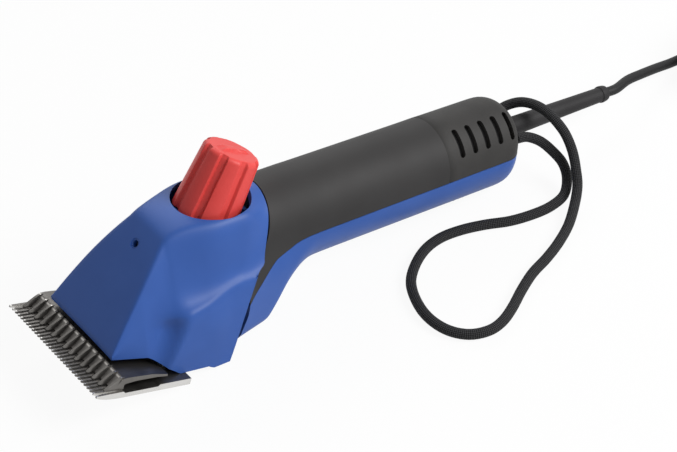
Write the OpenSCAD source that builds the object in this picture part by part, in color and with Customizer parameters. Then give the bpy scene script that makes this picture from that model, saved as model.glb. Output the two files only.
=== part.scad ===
// Electric clipping handpiece for sheep and cattle: comb and cutter, lever drive, geared motor,
// tension knob, wrist loop and mains lead. Millimetres. It lies at rest on a table: +Z is up,
// the blades point to -X and the lead leaves to +X. Inner modules work in the handle's own frame,
// whose x axis is the motor axis, and one placing module sets them down on the table.

/* [Blades] */
// Teeth on the comb
comb_teeth = 31; // [21:2:35]
// Pitch of the comb's teeth; the cutter has twice this pitch
tooth_pitch = 2.5; // [2.2:0.1:2.8]
// Width of the gap between two comb teeth
comb_gap = 1.3; // [0.9:0.1:1.6]
// Thickness of the comb's teeth at their tips
comb_tip_t = 1; // [0.6:0.1:1.6]
// Length of the comb's teeth
comb_tooth_len = 14.5; // [10:0.5:18]
// Depth of the comb from tips to rear edge
comb_depth = 52; // [48:0.5:56]
// Thickness of the comb
comb_thick = 3.2; // [2.6:0.1:4]
// Length of the cutter's teeth
cutter_tooth_len = 12; // [9:0.5:14]
// Distance of the cutter's tips behind the comb's tips
cutter_setback = 4; // [2:0.5:6]
// Gap between the cutter's heel and the bed behind it
heel_gap = 2; // [1:0.25:4]
// Height of the cutter's heel above the comb
cutter_h = 7.5; // [6:0.25:8]
// Width of the gap between two cutter teeth
cutter_gap = 2.2; // [1.8:0.1:2.8]
// Running clearance between cutter and comb
blade_clear = 0.05; // [0.03:0.01:0.1]

/* [Head] */
// Reach of the comb's tips in front of the head joint
tip_reach = 107.5; // [104:0.5:111]
// Drop of the comb's tips below the handle axis
tip_drop = 33; // [31:0.5:35]
// Angle of the blade plane below the handle axis
blade_tilt = 12.6; // [10:0.2:15]
// Width of the head at its front lip
lip_w = 51; // [44:1:58]
// Height of the front lip above the comb's top face
lip_h = 11.2; // [10:0.2:13]
// Setback of the front lip behind the comb's tips
lip_set = 13; // [11:0.5:15]
// Slope of the flat front face above the handle axis
face_slope = 51.5; // [48:0.5:54]
// Length of the flat front face from the lip to its crest
face_len = 54.2; // [50:0.2:57]
// Width of the front face at its upper end
crest_w = 26; // [22:1:30]
// Width of the head over its skirts
skirt_w = 67; // [63:1:72]
// Width over the shoulder ridges at the rear of the head
ridge_w = 59; // [55:1:62]
// Start of the skirts behind the comb's tips
skirt_set = 48.7; // [46:0.5:50]
// Length of the skirts' lower edge
skirt_len = 28.3; // [26:0.5:30]
// Height of the skirts' front corner above the comb's top face
skirt_foot = 0.1; // [0.1:0.1:0.8]
// Rise of the skirts' lower edge from front to rear
skirt_rise = 1.6; // [1:0.1:3]
// Lean of the joint between head and handle
joint_tilt = 21; // [18:0.5:24]
// Wall of the head
head_wall = 2.6; // [2:0.1:3.2]
// Diameter of the oil hole in the front face
oil_hole_d = 3.4; // [2:0.2:5]

/* [Tension knob] */
// Diameter at the foot of the knob
knob_d = 28.4; // [25:0.2:30]
// Height of the knob
knob_h = 33; // [29:0.5:36]
// Distance of the knob's foot in front of the head joint
knob_set = 27.7; // [26:0.1:30]
// Height of the knob's foot above the handle axis
knob_lift = 14.6; // [13:0.1:16]
// Lean of the knob's axis towards the handle
knob_tilt = 25; // [22:0.5:27]
// Ribs round the knob
knob_ribs = 8; // [6:1:12]
// Gap round the knob in its recess
knob_gap = 1.9; // [1:0.1:2.5]
// Diameter of the tension screw
screw_d = 8; // [6:0.5:9]
// Feed of the tension screw in one turn
screw_pitch = 1.25; // [0.8:0.05:2]
// Wire of the tension spring
spring_wire = 1.6; // [1.2:0.1:1.8]
// Curls of the tension spring
spring_curls = 5; // [4:1:6]

/* [Handle] */
// Diameter of the handle at the head
handle_d = 42.8; // [41:0.2:46]
// Diameter of the handle at its rear end
handle_rear_d = 41.2; // [40:0.2:46]
// Length of the handle axis from the head joint to the rear end
handle_len = 155; // [148:1:165]
// Depth of the handle below its axis
handle_drop = 26.8; // [25.6:0.2:29]
// Further depth of the prong beside the head
prong_drop = 17.2; // [14:0.2:18]
// Width over the prong
prong_w = 57; // [52:0.5:60]
// Rounding of the rear end
rear_round = 12; // [8:0.5:14]
// Position of the joint between grip shell and rear cap
cap_joint = 104; // [100:0.5:106]
// Wall of the handle shells
shell_wall = 2.4; // [1.8:0.1:2.8]
// Width of the joint lines between the shells
seam_gap = 0.3; // [0.1:0.05:0.6]
// Vent slots on each side of the rear cap
vent_count = 5; // [3:1:6]
// Width of a vent slot
vent_w = 3.2; // [2:0.2:4]
// Spacing of the vent slots
vent_pitch = 8.2; // [6:0.1:8.4]

/* [Drive] */
// Module of the gear teeth
gear_module = 0.6; // [0.5:0.02:0.64]
// Teeth of the motor pinion
pinion_teeth = 11; // [10:1:12]
// Teeth of the drive gear
gear_teeth = 44; // [40:1:46]
// Width of the drive gear
gear_w = 6; // [4:0.5:7]
// Throw of the crank pin
crank_throw = 1.4; // [1:0.05:1.6]
// Diameter of the roller on the crank pin
roller_d = 7; // [6:0.25:8]
// Height of the lever's lower face above the comb
lever_low = 9.6; // [9:0.1:10.5]
// Height of the lever's upper face above the comb
lever_top = 16.5; // [15.5:0.1:18]
// Diameter of the lever's pivot post
post_d = 8; // [6:0.25:9]
// Diameter of the motor shaft
shaft_d = 5; // [4:0.25:6]
// Outer diameter of the stator
stator_d = 35.6; // [33:0.2:36.4]
// Diameter of the armature
armature_d = 22; // [19:0.25:23]
// Length of the stator and armature stacks
stack_len = 30; // [24:0.5:34]
// Radial clearance of shafts in their bores
shaft_clear = 0.05; // [0.02:0.01:0.1]

/* [Cords] */
// Diameter of the mains lead
cord_d = 5.2; // [4.8:0.1:5.6]
// Length of the strain relief
boot_len = 72; // [55:1:80]
// Diameter of the strain relief where it leaves the handle
boot_d = 10.6; // [10:0.1:11.6]
// Diameter of the braided wrist loop
loop_d = 5.2; // [4.8:0.1:5.6]
// Turns in each layer of the stored lead
coil_turns = 3; // [2:1:4]
// Layers of the stored lead
coil_layers = 4; // [2:2:4]

/* [Hidden] */
$fn = 64;

// Small running gap between pieces on different bodies, and a cut's reach past a face
run_gap = 0.3;
eps = 0.05;

// Radii and half widths
handle_r = handle_d / 2;
rear_r = handle_rear_d / 2;
skirt_y = skirt_w / 2;
cutter_teeth = floor(comb_teeth / 2);
cutter_pitch = 2 * tooth_pitch;
comb_w = (comb_teeth - 1) * tooth_pitch + tooth_pitch - comb_gap;
cutter_w = (cutter_teeth - 1) * cutter_pitch + cutter_pitch - cutter_gap;
post_r = post_d / 2;
screw_r = screw_d / 2;
knob_r = knob_d / 2;
shaft_r = shaft_d / 2;
stator_r = stator_d / 2;
armature_r = armature_d / 2;
roller_r = roller_d / 2;
boot_r = boot_d / 2;
cord_r = cord_d / 2;
loop_r = loop_d / 2;

// Points of the blade frame (u behind the comb's tips, w above the comb's top face) in the handle frame
function from_blade(u, w) = [
    -tip_reach + u * cos(blade_tilt) + w * sin(blade_tilt),
    -tip_drop - u * sin(blade_tilt) + w * cos(blade_tilt)];
function to_blade(x, z) = [
    (x + tip_reach) * cos(blade_tilt) - (z + tip_drop) * sin(blade_tilt),
    (x + tip_reach) * sin(blade_tilt) + (z + tip_drop) * cos(blade_tilt)];
function mix(a, b, t) = a + (b - a) * t;
function smooth(a, b, x) = let (t = max(0, min(1, (x - a) / (b - a)))) t * t * (3 - 2 * t);
function curve2(a, b, c, t) = mix(mix(a, b, t), mix(b, c, t), t);
function curve3(a, b, c, d, t) = mix(curve2(a, b, c, t), curve2(b, c, d, t), t);

// Head: lip, crest of the front face, joint with the handle
lip = from_blade(lip_set, lip_h);
crest = lip + face_len * [cos(face_slope), sin(face_slope)];
joint_top = [0, handle_r];
crown_fall = 8;
crown_x = (handle_r - lip[1] + lip[0] * tan(face_slope)) / (tan(face_slope) + tan(crown_fall));
crown_ctrl = [crown_x, handle_r - crown_x * tan(crown_fall)];
skirt_front = from_blade(skirt_set, skirt_foot);
skirt_corner = from_blade(skirt_set + skirt_len, skirt_foot + skirt_rise);
ridge_z = -7.5;
ridge_rear = [-16.5, ridge_z];
neck = [-(handle_r + 5) * tan(joint_tilt), -5];
// Table: the part rests on the skirt corners and on the round rear end of the lower shell
rest_centre = [handle_len - rear_round, rear_round - handle_drop];
rest_span = rest_centre - skirt_corner;
rest_tilt = atan2(rest_span[1], rest_span[0]) - asin(rear_round / norm(rest_span));
function tilted(p) = [
    p[0] * cos(rest_tilt) + p[1] * sin(rest_tilt),
    -p[0] * sin(rest_tilt) + p[1] * cos(rest_tilt)];
table_z = tilted(skirt_corner)[1];
boot_end_x = handle_len + boot_len;
boot_end_r = 3.9;
front_x = tilted(from_blade(0, -comb_tip_t))[0];
back_x = tilted([boot_end_x, boot_end_r])[0];
mid_x = (front_x + back_x) / 2;
function to_row(p) = let (t = tilted([p[0], p[2]])) [t[0] - mid_x, p[1], t[1] - table_z];

// Tension stack, measured along the knob's axis from the knob's foot
knob_foot = [-knob_set, knob_lift];
knob_foot_blade = to_blade(knob_foot[0], knob_foot[1]);
knob_lean = knob_tilt - blade_tilt;
recess_r = knob_r + knob_gap;
recess_floor = -1;
floor_t = 3;
bush_r = 7.5;
bush_low = -39;
spring_bore_r = 6.1;
seat_r = spring_bore_r - 0.2;
seat_t = 2.5;
screw_tip = -16;
knob_turns = 2;
bush_step = screw_tip + knob_turns * screw_pitch + run_gap + 0.2;
flange_t = 2;
flange_top = -33;
ball_r = 3;
ball_w = lever_top + 1.6;
ball_k = -(knob_foot_blade[1] - ball_w) / cos(knob_lean);
pivot_u = knob_foot_blade[0] - (knob_foot_blade[1] - ball_w) * tan(knob_lean);
spring_r = seat_r - 0.4 - spring_wire / 2;

// Drive: motor on the handle axis, crank shaft below it
gear_drop = gear_module * (pinion_teeth + gear_teeth) / 2;
gear_x = -7;
roller_len = 8;
roller_x = -21;
roller_mid = to_blade(roller_x + roller_len / 2, -gear_drop);
swing = asin(crank_throw / (roller_mid[0] - pivot_u));
fork_u0 = roller_mid[0] - 4.2;
fork_u1 = roller_mid[0] + 4.2;
fork_gap = roller_r + crank_throw + (fork_u1 - pivot_u) * sin(swing) + run_gap;
case_x = 3;
case_t = 6;
bearing_w = 5;
bearing_r = 8;
stack_x = 28;
rear_plate_x = stack_x + stack_len + 25;
rear_plate_t = 6;

// Holes for the wrist loop beside the boot
anchor_y = 11.5;
anchor_z = 1.5;

// Route of the wrist loop: out of the near hole, down to the table, round, and over the boot to the far hole
function at_hole(reach, side) = to_row([handle_len + reach, side * anchor_y, anchor_z]);
loop_route = concat(
    [at_hole(-12, -1), at_hole(0, -1)],
    [[103, -12.5, 25.5], [109, -16, 22], [113, -21, 17], [115, -27, 12], [113, -33, 7], [106, -39, 3.6],
     [96, -41, loop_r], [85, -40.5, loop_r], [72, -37.5, loop_r], [60, -32, loop_r], [48, -28, loop_r],
     [36, -26.5, loop_r], [24, -29, loop_r], [12, -36, loop_r], [3, -45, loop_r], [-3, -58, loop_r],
     [-5, -70, loop_r], [-3, -81, loop_r], [3, -89, loop_r], [12, -92.5, loop_r], [21, -91.5, loop_r],
     [31, -87, loop_r], [43, -80, loop_r], [55, -74, loop_r], [67, -70, loop_r], [79, -65, loop_r],
     [92, -58, 3], [103, -50, 5], [111, -43, 9], [115, -37, 14], [117.5, -31, 20.5], [117.5, -25, 28],
     [116.5, -18, 33], [116, -10, 35], [115, -2, 34.5], [113, 5, 32.5], [109, 10, 29.5], [103, 11.5, 27.4]],
    [at_hole(0, 1), at_hole(-12, 1)]);

// Coil of the cord that is put away: it winds in and out again, and climbs where it turns back
coil_step = cord_d + 0.5;
coil_in_r = 4 * cord_d;
coil_run = coil_turns + 0.5;
coil_out_r = coil_in_r + coil_step * coil_run;
coil_rings = 24;
coil_lift = 1;
coil_centre = [266, -31];
function coil_r_at(t) = coil_in_r + coil_step * abs(t - coil_run - 2 * coil_run * floor(t / (2 * coil_run)));
function coil_climb(t) = [for (k = [1:coil_layers - 1]) max(0, min(1, 2 * (t - k * coil_run) + 0.5))]
    * [for (k = [1:coil_layers - 1]) 1];
function coil_z_at(t) = coil_lift + cord_r + coil_step * coil_climb(t);
function coil_at(t) = [
    coil_centre[0] + coil_r_at(t) * sin(360 * t),
    coil_centre[1] + coil_r_at(t) * cos(360 * t),
    coil_z_at(t)];
coil_end = coil_run * coil_layers;
coil_route = concat(
    [coil_at(0) - [cord_d, 0, 0]],
    [for (i = [0:coil_end * coil_rings]) coil_at(i / coil_rings)],
    [coil_at(coil_end) + [cord_d, 0, 0]]);
coil_in = coil_in_r - cord_r;
coil_out = coil_out_r + cord_r;
coil_top = coil_z_at(coil_end) + cord_r;
tie_w = 7;
tie_t = 0.8;
tie_gap = coil_lift;

// Free cord from the boot to the coil, lying down on the table at the edge of the view
boot_tip = to_row([boot_end_x, 0, 0]);
boot_aim = to_row([boot_end_x + 1, 0, 0]) - boot_tip;
cord_route = concat(
    [boot_tip, boot_tip + 8 * boot_aim],
    [[188, 4, 13.5], [200, 6, 11], [213, 8, 8], [225, 9, 5.6], [238, 9.8, 4.2]],
    [coil_at(0) - [2.5 * cord_d, 0, 0], coil_at(0) - [cord_d, 0, 0]]);

// Lead from the top of the coil down to the plug on the table
plug_w = 26;
plug_t = 15;
plug_len = 24;
plug_neck = 18;
pin_spread = 19;
pin_d = 4.8;
pin_len = 19;
plug_at = [319, -55, plug_t / 2];
lead_route = concat(
    [coil_at(coil_end) + [cord_d, 0, 0]],
    [[281, 9, 20.5], [292, 5.5, 19.6], [303, -2, 17.6], [311, -12, 14.8], [316, -23, 12], [318.5, -34, 9.4],
     [319, -44, 7.8]],
    [plug_at + [0, cord_d, 0], plug_at]);

// Placing
module in_row() translate([-mid_x, 0, -table_z]) rotate([0, rest_tilt, 0]) children();
module in_blade() in_row() translate([-tip_reach, 0, -tip_drop]) rotate([0, blade_tilt, 0]) children();
module in_knob() in_row() knob_place() children();
module knob_place() translate([-knob_set, 0, knob_lift]) rotate([0, knob_tilt, 0]) children();
module blade_place() translate([-tip_reach, 0, -tip_drop]) rotate([0, blade_tilt, 0]) children();
module along_x(x, z = 0) translate([x, 0, z]) rotate([0, 90, 0]) children();
module side_prism(outline, w) rotate([90, 0, 0]) linear_extrude(w, center = true) polygon(outline);
module rod(r, h, x, z = 0, y = 0) translate([x, y, z]) rotate([0, 90, 0]) cylinder(r = r, h = h);
module ring(r_out, r_in, h, x, z = 0) difference() {
    rod(r_out, h, x, z);
    rod(r_in, h + 2 * eps, x - eps, z);
}

// Skin through rings of equal point count, each ring the mirror image of itself from its first point to its
// last; strips between mirrored points close both ends
module loft(rings) {
    n = len(rings[0]);
    m = len(rings);
    top = (n - 1) / 2;
    points = [for (r = rings) each r];
    sides = [for (i = [0:m - 2]) for (j = [0:n - 1])
        let (a = i * n + j, b = i * n + (j + 1) % n, c = a + n, d = b + n)
        each [[a, c, b], [b, c, d]]];
    caps = [for (j = [0:top - 1]) let (e = n - 1 - j, k = (m - 1) * n) each concat(
        [[j, j + 1, e], [k + j, k + e, k + j + 1]],
        j < top - 1 ? [[j + 1, e - 1, e], [k + j + 1, k + e, k + e - 1]] : [])];
    polyhedron(points, concat(sides, caps), convexity = 10);
}

// Open shell between an outer and an inner row of lines, closed along its edges and at both ends
module shell_loft(outer, inner) {
    n = len(outer[0]);
    m = len(outer);
    far = n * m;
    points = concat([for (r = outer) each r], [for (r = inner) each r]);
    walls = [for (i = [0:m - 2]) for (j = [0:n - 2])
        let (a = i * n + j, b = a + 1, c = a + n, d = c + 1)
        each [[a, c, b], [b, c, d], [far + a, far + b, far + c], [far + b, far + d, far + c]]];
    edges = [for (i = [0:m - 2]) let (a = i * n, c = a + n, e = a + n - 1, g = e + n)
        each [[a, far + a, c], [c, far + a, far + c], [e, g, far + e], [g, far + g, far + e]]];
    ends = [for (j = [0:n - 2]) let (k = (m - 1) * n + j)
        each [[j, j + 1, far + j], [j + 1, far + j + 1, far + j],
              [k, far + k, k + 1], [k + 1, far + k, far + k + 1]]];
    polyhedron(points, concat(walls, edges, ends), convexity = 10);
}

// Head housing: half sections from the top middle round to the lower edge
function head_top(x) = x <= crest[0]
    ? lip[1] + (x - lip[0]) * tan(face_slope)
    : let (a = crest[0] - 2 * crown_ctrl[0] + joint_top[0],
           b = 2 * (crown_ctrl[0] - crest[0]),
           t = (-b + sqrt(max(0, b * b - 4 * a * (crest[0] - x)))) / (2 * a))
      curve2(crest, crown_ctrl, joint_top, min(1, t))[1];
function head_face_y(x) = mix(lip_w, crest_w, min(1, (x - lip[0]) / (crest[0] - lip[0]))) / 2;
flank_mid = from_blade(32, 8.5);
flank_end = from_blade(44.5, 2.5);
lip_t = 2.4;
function head_low(x) = lookup(x, [
    [lip[0], lip[1] - lip_t],
    flank_mid,
    flank_end,
    skirt_front,
    skirt_corner]);
function head_low_y(x) = lookup(x, [
    [lip[0], lip_w / 2 + 0.3],
    [flank_mid[0], skirt_y - 4],
    [flank_end[0], skirt_y - 3.2],
    [skirt_front[0] - 1, skirt_y - 2.4],
    [skirt_front[0] + 3.5, skirt_y]]);
function ridge_y(x) = mix(ridge_w / 2, skirt_y - 1, smooth(ridge_rear[0], skirt_front[0] + 6, x));
function joint_x(z) = z > neck[1]
    ? -(handle_r - z) * tan(joint_tilt)
    : z > ridge_z
        ? mix(neck[0], ridge_rear[0], (neck[1] - z) / (neck[1] - ridge_z))
        : mix(ridge_rear[0], skirt_corner[0], (ridge_z - z) / (ridge_z - skirt_corner[1]));
shear_x = -44;
// Wall thickness t measured inwards from the outer face, q moves a section back to the joint
function head_half(x, q, t) = let (
    thick = x < crest[0] ? t / cos(face_slope) : mix(t / cos(face_slope), t, smooth(crest[0], -40, x)),
    zt = head_top(x) - min(thick, lip_t * 0.8 + (x - lip[0])),
    cy = head_face_y(x) - t * 0.6,
    low_x = mix(x, joint_x(skirt_corner[1]), q),
    low = [head_low_y(low_x) - t, head_low(low_x)],
    g = smooth(crest[0] - 6, -38, x),
    rise = head_top(x) - handle_r,
    bow = 0.9,
    front_c = [cy, zt - 0.4],
    front_1 = mix(front_c, low, 0.2) + [bow, 0],
    front_2 = mix(front_c, low, 0.45) + [bow, 0],
    front_r = mix(front_c, low, 0.62) + [bow * 0.6, 0],
    rear_c = [cy, sqrt(pow(handle_r, 2) - pow(crest_w / 2, 2)) + rise - t],
    rear_1 = [handle_r + 0.8 - t, 10],
    rear_2 = [handle_r - 0.6 - t, ridge_z + 2.5],
    rear_r = [ridge_y(x) - t, ridge_z - t * 0.3],
    c = mix(front_c, rear_c, g),
    p1 = mix(front_1, rear_1, g),
    p2 = mix(front_2, rear_2, g),
    r = mix(front_r, rear_r, g)) concat(
        [for (i = [0:2]) [cy * i / 3, mix(zt, c[1], pow(i / 3, 2))]],
        [for (i = [0:7]) curve3(c, p1, p2, r, i / 7)],
        [for (i = [1:3]) mix(r, low, i / 3)]);
function head_line(x, q, t) = let (
    h = head_half(q > 0 ? mix(shear_x, 0, q) : x, q, t),
    full = concat([for (i = [len(h) - 1:-1:1]) [-h[i][0], h[i][1]]], h))
    [for (p = full) [q > 0 ? mix(shear_x, joint_x(p[1]), q) : x, p[0], p[1]]];
head_x = concat(
    [for (f = [0, 0.3, 0.6, 0.85, 1]) mix(lip[0], crest[0], f)],
    [crest[0] + 3.5, crest[0] + 8, shear_x]);
head_q = [0.2, 0.4, 0.6, 0.8, 1];
function head_lines(t) = concat([for (x = head_x) head_line(x, 0, t)], [for (q = head_q) head_line(0, q, t)]);
module head_core(t) let (lines = head_lines(t)) loft([for (i = [2:len(lines) - 1]) lines[i]]);
oil_set = 10.1;
oil_x = crest[0] - oil_set * cos(face_slope);
module head_housing() color("royalblue") in_row() difference() {
    shell_loft(head_lines(0), head_lines(head_wall));
    knob_place() translate([0, 0, recess_floor]) cylinder(r = recess_r, h = 60);
    translate([oil_x, 0, head_top(oil_x)]) rotate([0, -face_slope, 0])
        cylinder(d = oil_hole_d, h = 20, center = true);
}

// Cup under the crown: a floor with a back wall. It holds the tension bushing and takes the two
// upper head screws
inner_clear = 0.15;
cup_wall = 2;
cup_low = -26;
cup_y = 10;
cup_r = recess_r + 0.3;
cup_front = 11;
back_wall = [16, 7.5];
upper_screw = [11.5, 6.5];
lug = [-30, 8.5, 3];
lug_size = [14, 6, 7];
screw_core_r = 1.6;
module knob_cup() color("royalblue") in_row() difference() {
    union() {
        knob_place() intersection() {
            translate([0, 0, recess_floor - floor_t]) cylinder(r = cup_r, h = floor_t);
            translate([-cup_front, -cup_y, -50]) cube([60, 2 * cup_y, 60]);
        }
        knob_place() translate([recess_r - 6, -back_wall[0] / 2, recess_floor - 1])
            cube([6 + cup_wall, back_wall[0], back_wall[1] - recess_floor + 1]);
        knob_place() translate([0, 0, cup_low])
            cylinder(r = bush_r + cup_wall, h = recess_floor - 1 - cup_low);
        for (s = [0, 1]) mirror([0, s, 0]) translate(lug) cube(lug_size);
    }
    knob_place() translate([0, 0, recess_floor]) cylinder(r = recess_r, h = 60);
    knob_place() translate([0, 0, cup_low - 4]) cylinder(r = bush_r, h = 40);
    for (s = [-1, 1]) rod(screw_core_r, 14, -28, upper_screw[1], s * upper_screw[0]);
}

// Pillars between the comb bed and the crown, each with a screw from below
pillar_r = 4.2;
pillar_thread = 14;
module screw_pillars() color("royalblue") in_row() difference() {
    intersection() {
        head_core(head_wall + inner_clear);
        for (s = [-1, 1]) blade_place() translate([bed_boss_u, s * bed_boss_y, bed_top])
            cylinder(r = pillar_r, h = 60);
    }
    for (s = [-1, 1]) blade_place() translate([bed_boss_u, s * bed_boss_y, bed_top - eps])
        cylinder(r = screw_core_r, h = pillar_thread);
}

// Bed that carries the comb, its screws and the lever's post
bed_lap = 9;
bed_front = comb_depth - bed_lap;
bed_top = 7;
bed_lift = 2.2;
bed_heel = 4.5;
bed_lip = 1.6;
bed_end = skirt_set + skirt_len - 1.5;
bed_y = skirt_y - head_wall - 4.7;
bed_boss_u = bed_end - 13.5;
bed_boss_y = 22.8;
bed_screw_head_r = 3.4;
bed_screw_head_h = 2.4;
comb_screw_u = comb_depth - 4.7;
comb_screw_y = 18;
comb_screw_r = 2.5;
module comb_bed() color("silver") in_row() difference() {
    blade_place() side_prism([
        [bed_front, 0], [comb_depth, 0], [comb_depth, -bed_lip], [comb_depth + bed_heel, -bed_lip],
        [comb_depth + bed_heel + 1, bed_lift], [bed_end, bed_lift], [bed_end, bed_top],
        [bed_front, bed_top]], 2 * bed_y);
    blade_place() for (s = [-1, 1]) {
        translate([comb_screw_u, s * comb_screw_y, -eps]) cylinder(r = comb_screw_r, h = bed_top + 1);
        translate([bed_boss_u, s * bed_boss_y, 0]) cylinder(r = screw_core_r + 0.5, h = bed_top + 1);
        translate([bed_boss_u, s * bed_boss_y, 0])
            cylinder(r = bed_screw_head_r + 0.2, h = bed_lift + bed_screw_head_h);
    }
    blade_place() translate([pivot_u, 0, 0]) cylinder(r = post_r, h = bed_top + 1);
}
// Posts on the bed that take the two lower head screws
lower_screw = [17.2, -17];
post_w = 7.6;
post_len = 9;
post_h = to_blade(bed_end * cos(blade_tilt) - tip_reach, lower_screw[1])[1] - bed_top + 3.3;
module bed_posts() color("silver") in_row() difference() {
    for (s = [-1, 1]) blade_place()
        translate([bed_end - post_len, s * lower_screw[0] - post_w / 2, bed_top])
            cube([post_len, post_w, post_h]);
    for (s = [-1, 1]) rod(screw_core_r, tip_reach, -tip_reach, lower_screw[1], s * lower_screw[0]);
}

// Comb: side profile with a round toe and a relieved middle, teeth cut by a row of gaps
module comb_gap_cut() {
    linear_extrude(3 * comb_thick, center = true) polygon([
        [-1, -comb_gap * 0.78], [3.5, -comb_gap / 2], [comb_tooth_len - comb_gap / 2, -comb_gap / 2],
        [comb_tooth_len - comb_gap / 2, comb_gap / 2], [3.5, comb_gap / 2], [-1, comb_gap * 0.78]]);
    translate([comb_tooth_len - comb_gap / 2, 0, 0])
        cylinder(d = comb_gap, h = 3 * comb_thick, center = true, $fn = 24);
}
comb_relief = 0.9;
comb_land = 17.5;
screw_seat = 2.1;
comb_head_r = 4.4;
module comb() color("gainsboro") in_blade() difference() {
    side_prism(concat(
        [[0, 0], [0, -comb_tip_t]],
        [for (i = [1:6]) curve2([0, -comb_tip_t], [5, -comb_thick], [14, -comb_thick], i / 6)],
        [[comb_depth, -comb_thick], [comb_depth, 0], [comb_depth - comb_land, 0],
         [comb_depth - comb_land - comb_relief, -comb_relief],
         [comb_tooth_len + comb_relief, -comb_relief], [comb_tooth_len, 0]]), comb_w);
    for (i = [0:comb_teeth - 2]) translate([0, (i - (comb_teeth - 2) / 2) * tooth_pitch, 0]) comb_gap_cut();
    for (s = [-1, 1]) translate([comb_screw_u, s * comb_screw_y, -comb_thick - 1]) {
        slot_to_rear(comb_screw_r + 0.1, 10);
        slot_to_rear(comb_head_r + run_gap, screw_seat + 1);
    }
}
// Round-ended slot that is open to the rear
module slot_to_rear(r, h) {
    cylinder(r = r, h = h);
    translate([0, -r, 0]) cube([20, 2 * r, h]);
}
module comb_screws() color("dimgray") in_blade()
    for (s = [-1, 1]) translate([comb_screw_u, s * comb_screw_y, screw_seat - comb_thick]) {
        cylinder(r = comb_screw_r, h = comb_thick - screw_seat + bed_top);
        difference() {
            translate([0, 0, -comb_head_h]) cylinder(r = comb_head_r, h = comb_head_h);
            translate([-5, -0.5, -comb_head_h - eps]) cube([10, 1, 1]);
        }
    }
comb_head_h = 2;

// Cutter: arched profile, teeth cut by a round saw whose run-outs climb the front slope
cutter_root = cutter_setback + cutter_tooth_len;
cutter_heel = bed_front - heel_gap;
cutter_web = 5.8;
cutter_arch = 2.6;
heel_pad = 7;
saw_r = 26;
cutter_saw = let (
    a = [cutter_root - 2.5, -1],
    b = [cutter_root + 3.2, cutter_h],
    mid = (a + b) / 2,
    d = norm(b - a),
    n = [-(b - a)[1], (b - a)[0]] / d) mid + n * sqrt(pow(saw_r, 2) - pow(d / 2, 2));
cone_u = cutter_heel - 14;
cone_y = 9;
cone_r = 2.6;
// The heel is narrower than the teeth, so that it swings inside the head's flanks
heel_step = cutter_heel - 10.4;
heel_y = skirt_y - head_wall - 5.8;
module cutter() color("slategray") in_blade() difference() {
    side_prism([
        [cutter_setback, blade_clear], [cutter_setback, 1.3], [cutter_root - 3, 3.2],
        [cutter_root + 2, cutter_web], [cutter_heel - 13, cutter_web], [cutter_heel - 8, cutter_h],
        [cutter_heel - 1.5, cutter_h], [cutter_heel, cutter_h - 2.5], [cutter_heel, blade_clear],
        [cutter_heel - heel_pad, blade_clear], [cutter_heel - heel_pad - 1, cutter_arch - 0.6],
        [cutter_heel - heel_pad - 4, cutter_arch], [cutter_root + 1, cutter_arch],
        [cutter_root - 1.5, cutter_arch - 0.6], [cutter_root - 2.5, blade_clear]], cutter_w);
    for (i = [0:cutter_teeth - 2]) translate([0, (i - (cutter_teeth - 2) / 2) * cutter_pitch, 0])
        translate([cutter_saw[0], 0, cutter_saw[1]]) rotate([90, 0, 0])
            cylinder(r = saw_r, h = cutter_gap, center = true, $fn = 96);
    for (s = [-1, 1]) translate([cone_u, s * cone_y, 3]) cylinder(r = cone_r + 0.05, h = 10);
    for (s = [-1, 1]) translate([heel_step, s * (heel_y + 10) - 10, -1]) cube([20, 20, 20]);
}

// Lever: bar over the cutter, pivot boss, rising arm and fork round the crank roller
lever_w = 12;
bar_top = 13;
yoke = 4.5;
fork_t = 4;
fork_low = roller_mid[1] - roller_r - crank_throw - 3.5;
fork_high = roller_mid[1] + roller_r + crank_throw + 2.5;
module lever() color("lightsteelblue") in_blade() difference() {
    union() {
        side_prism([
            [cone_u - 5, lever_low], [pivot_u + 7, lever_low], [fork_u0 + 2, fork_low - yoke],
            [fork_u1, fork_low - yoke], [fork_u1, fork_low], [fork_u0, fork_low], [pivot_u + 5, lever_top],
            [pivot_u - 8, lever_top], [cone_u + 3, bar_top], [cone_u - 5, bar_top]], lever_w);
        translate([cone_u, 0, lever_low]) linear_extrude(bar_top - lever_low) {
            translate([-5, -cone_y]) square([10, 2 * cone_y]);
            for (s = [-1, 1]) translate([0, s * cone_y]) circle(r = 5);
        }
        translate([pivot_u, 0, lever_low]) cylinder(r = post_r + 4, h = lever_top - lever_low);
        translate([fork_u0, -fork_gap - fork_t, fork_low - yoke])
            cube([fork_u1 - fork_u0, 2 * (fork_gap + fork_t), yoke]);
        for (s = [-1, 1]) translate([fork_u0, s * (fork_gap + fork_t / 2) - fork_t / 2, fork_low - eps])
            cube([fork_u1 - fork_u0, fork_t, fork_high - fork_low]);
    }
    translate([pivot_u, 0, lever_low - 1])
        cylinder(r = post_r + shaft_clear, h = post_top + run_gap - lever_low + 1);
    translate([pivot_u, 0, ball_w]) sphere(r = ball_r + run_gap);
    for (s = [-1, 1]) translate([cone_u, s * cone_y, lever_low - 1]) cylinder(r = cone_r, h = 10);
}
post_top = lever_top - 3;
module lever_cones() color("silver") in_blade() for (s = [-1, 1]) translate([cone_u, s * cone_y, 0]) {
    translate([0, 0, cutter_web]) cylinder(r = cone_r, h = bar_top - cutter_web);
    translate([0, 0, cutter_web - 2.6]) cylinder(r1 = 1.6, r2 = cone_r, h = 2.6);
}
module fulcrum_post() color("silver") in_blade() translate([pivot_u, 0, 0]) {
    translate([0, 0, bed_lift]) cylinder(r = post_r, h = post_top - bed_lift);
    translate([0, 0, bed_top]) cylinder(r = post_r + 2.5, h = lever_low - run_gap - bed_top);
}

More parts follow.
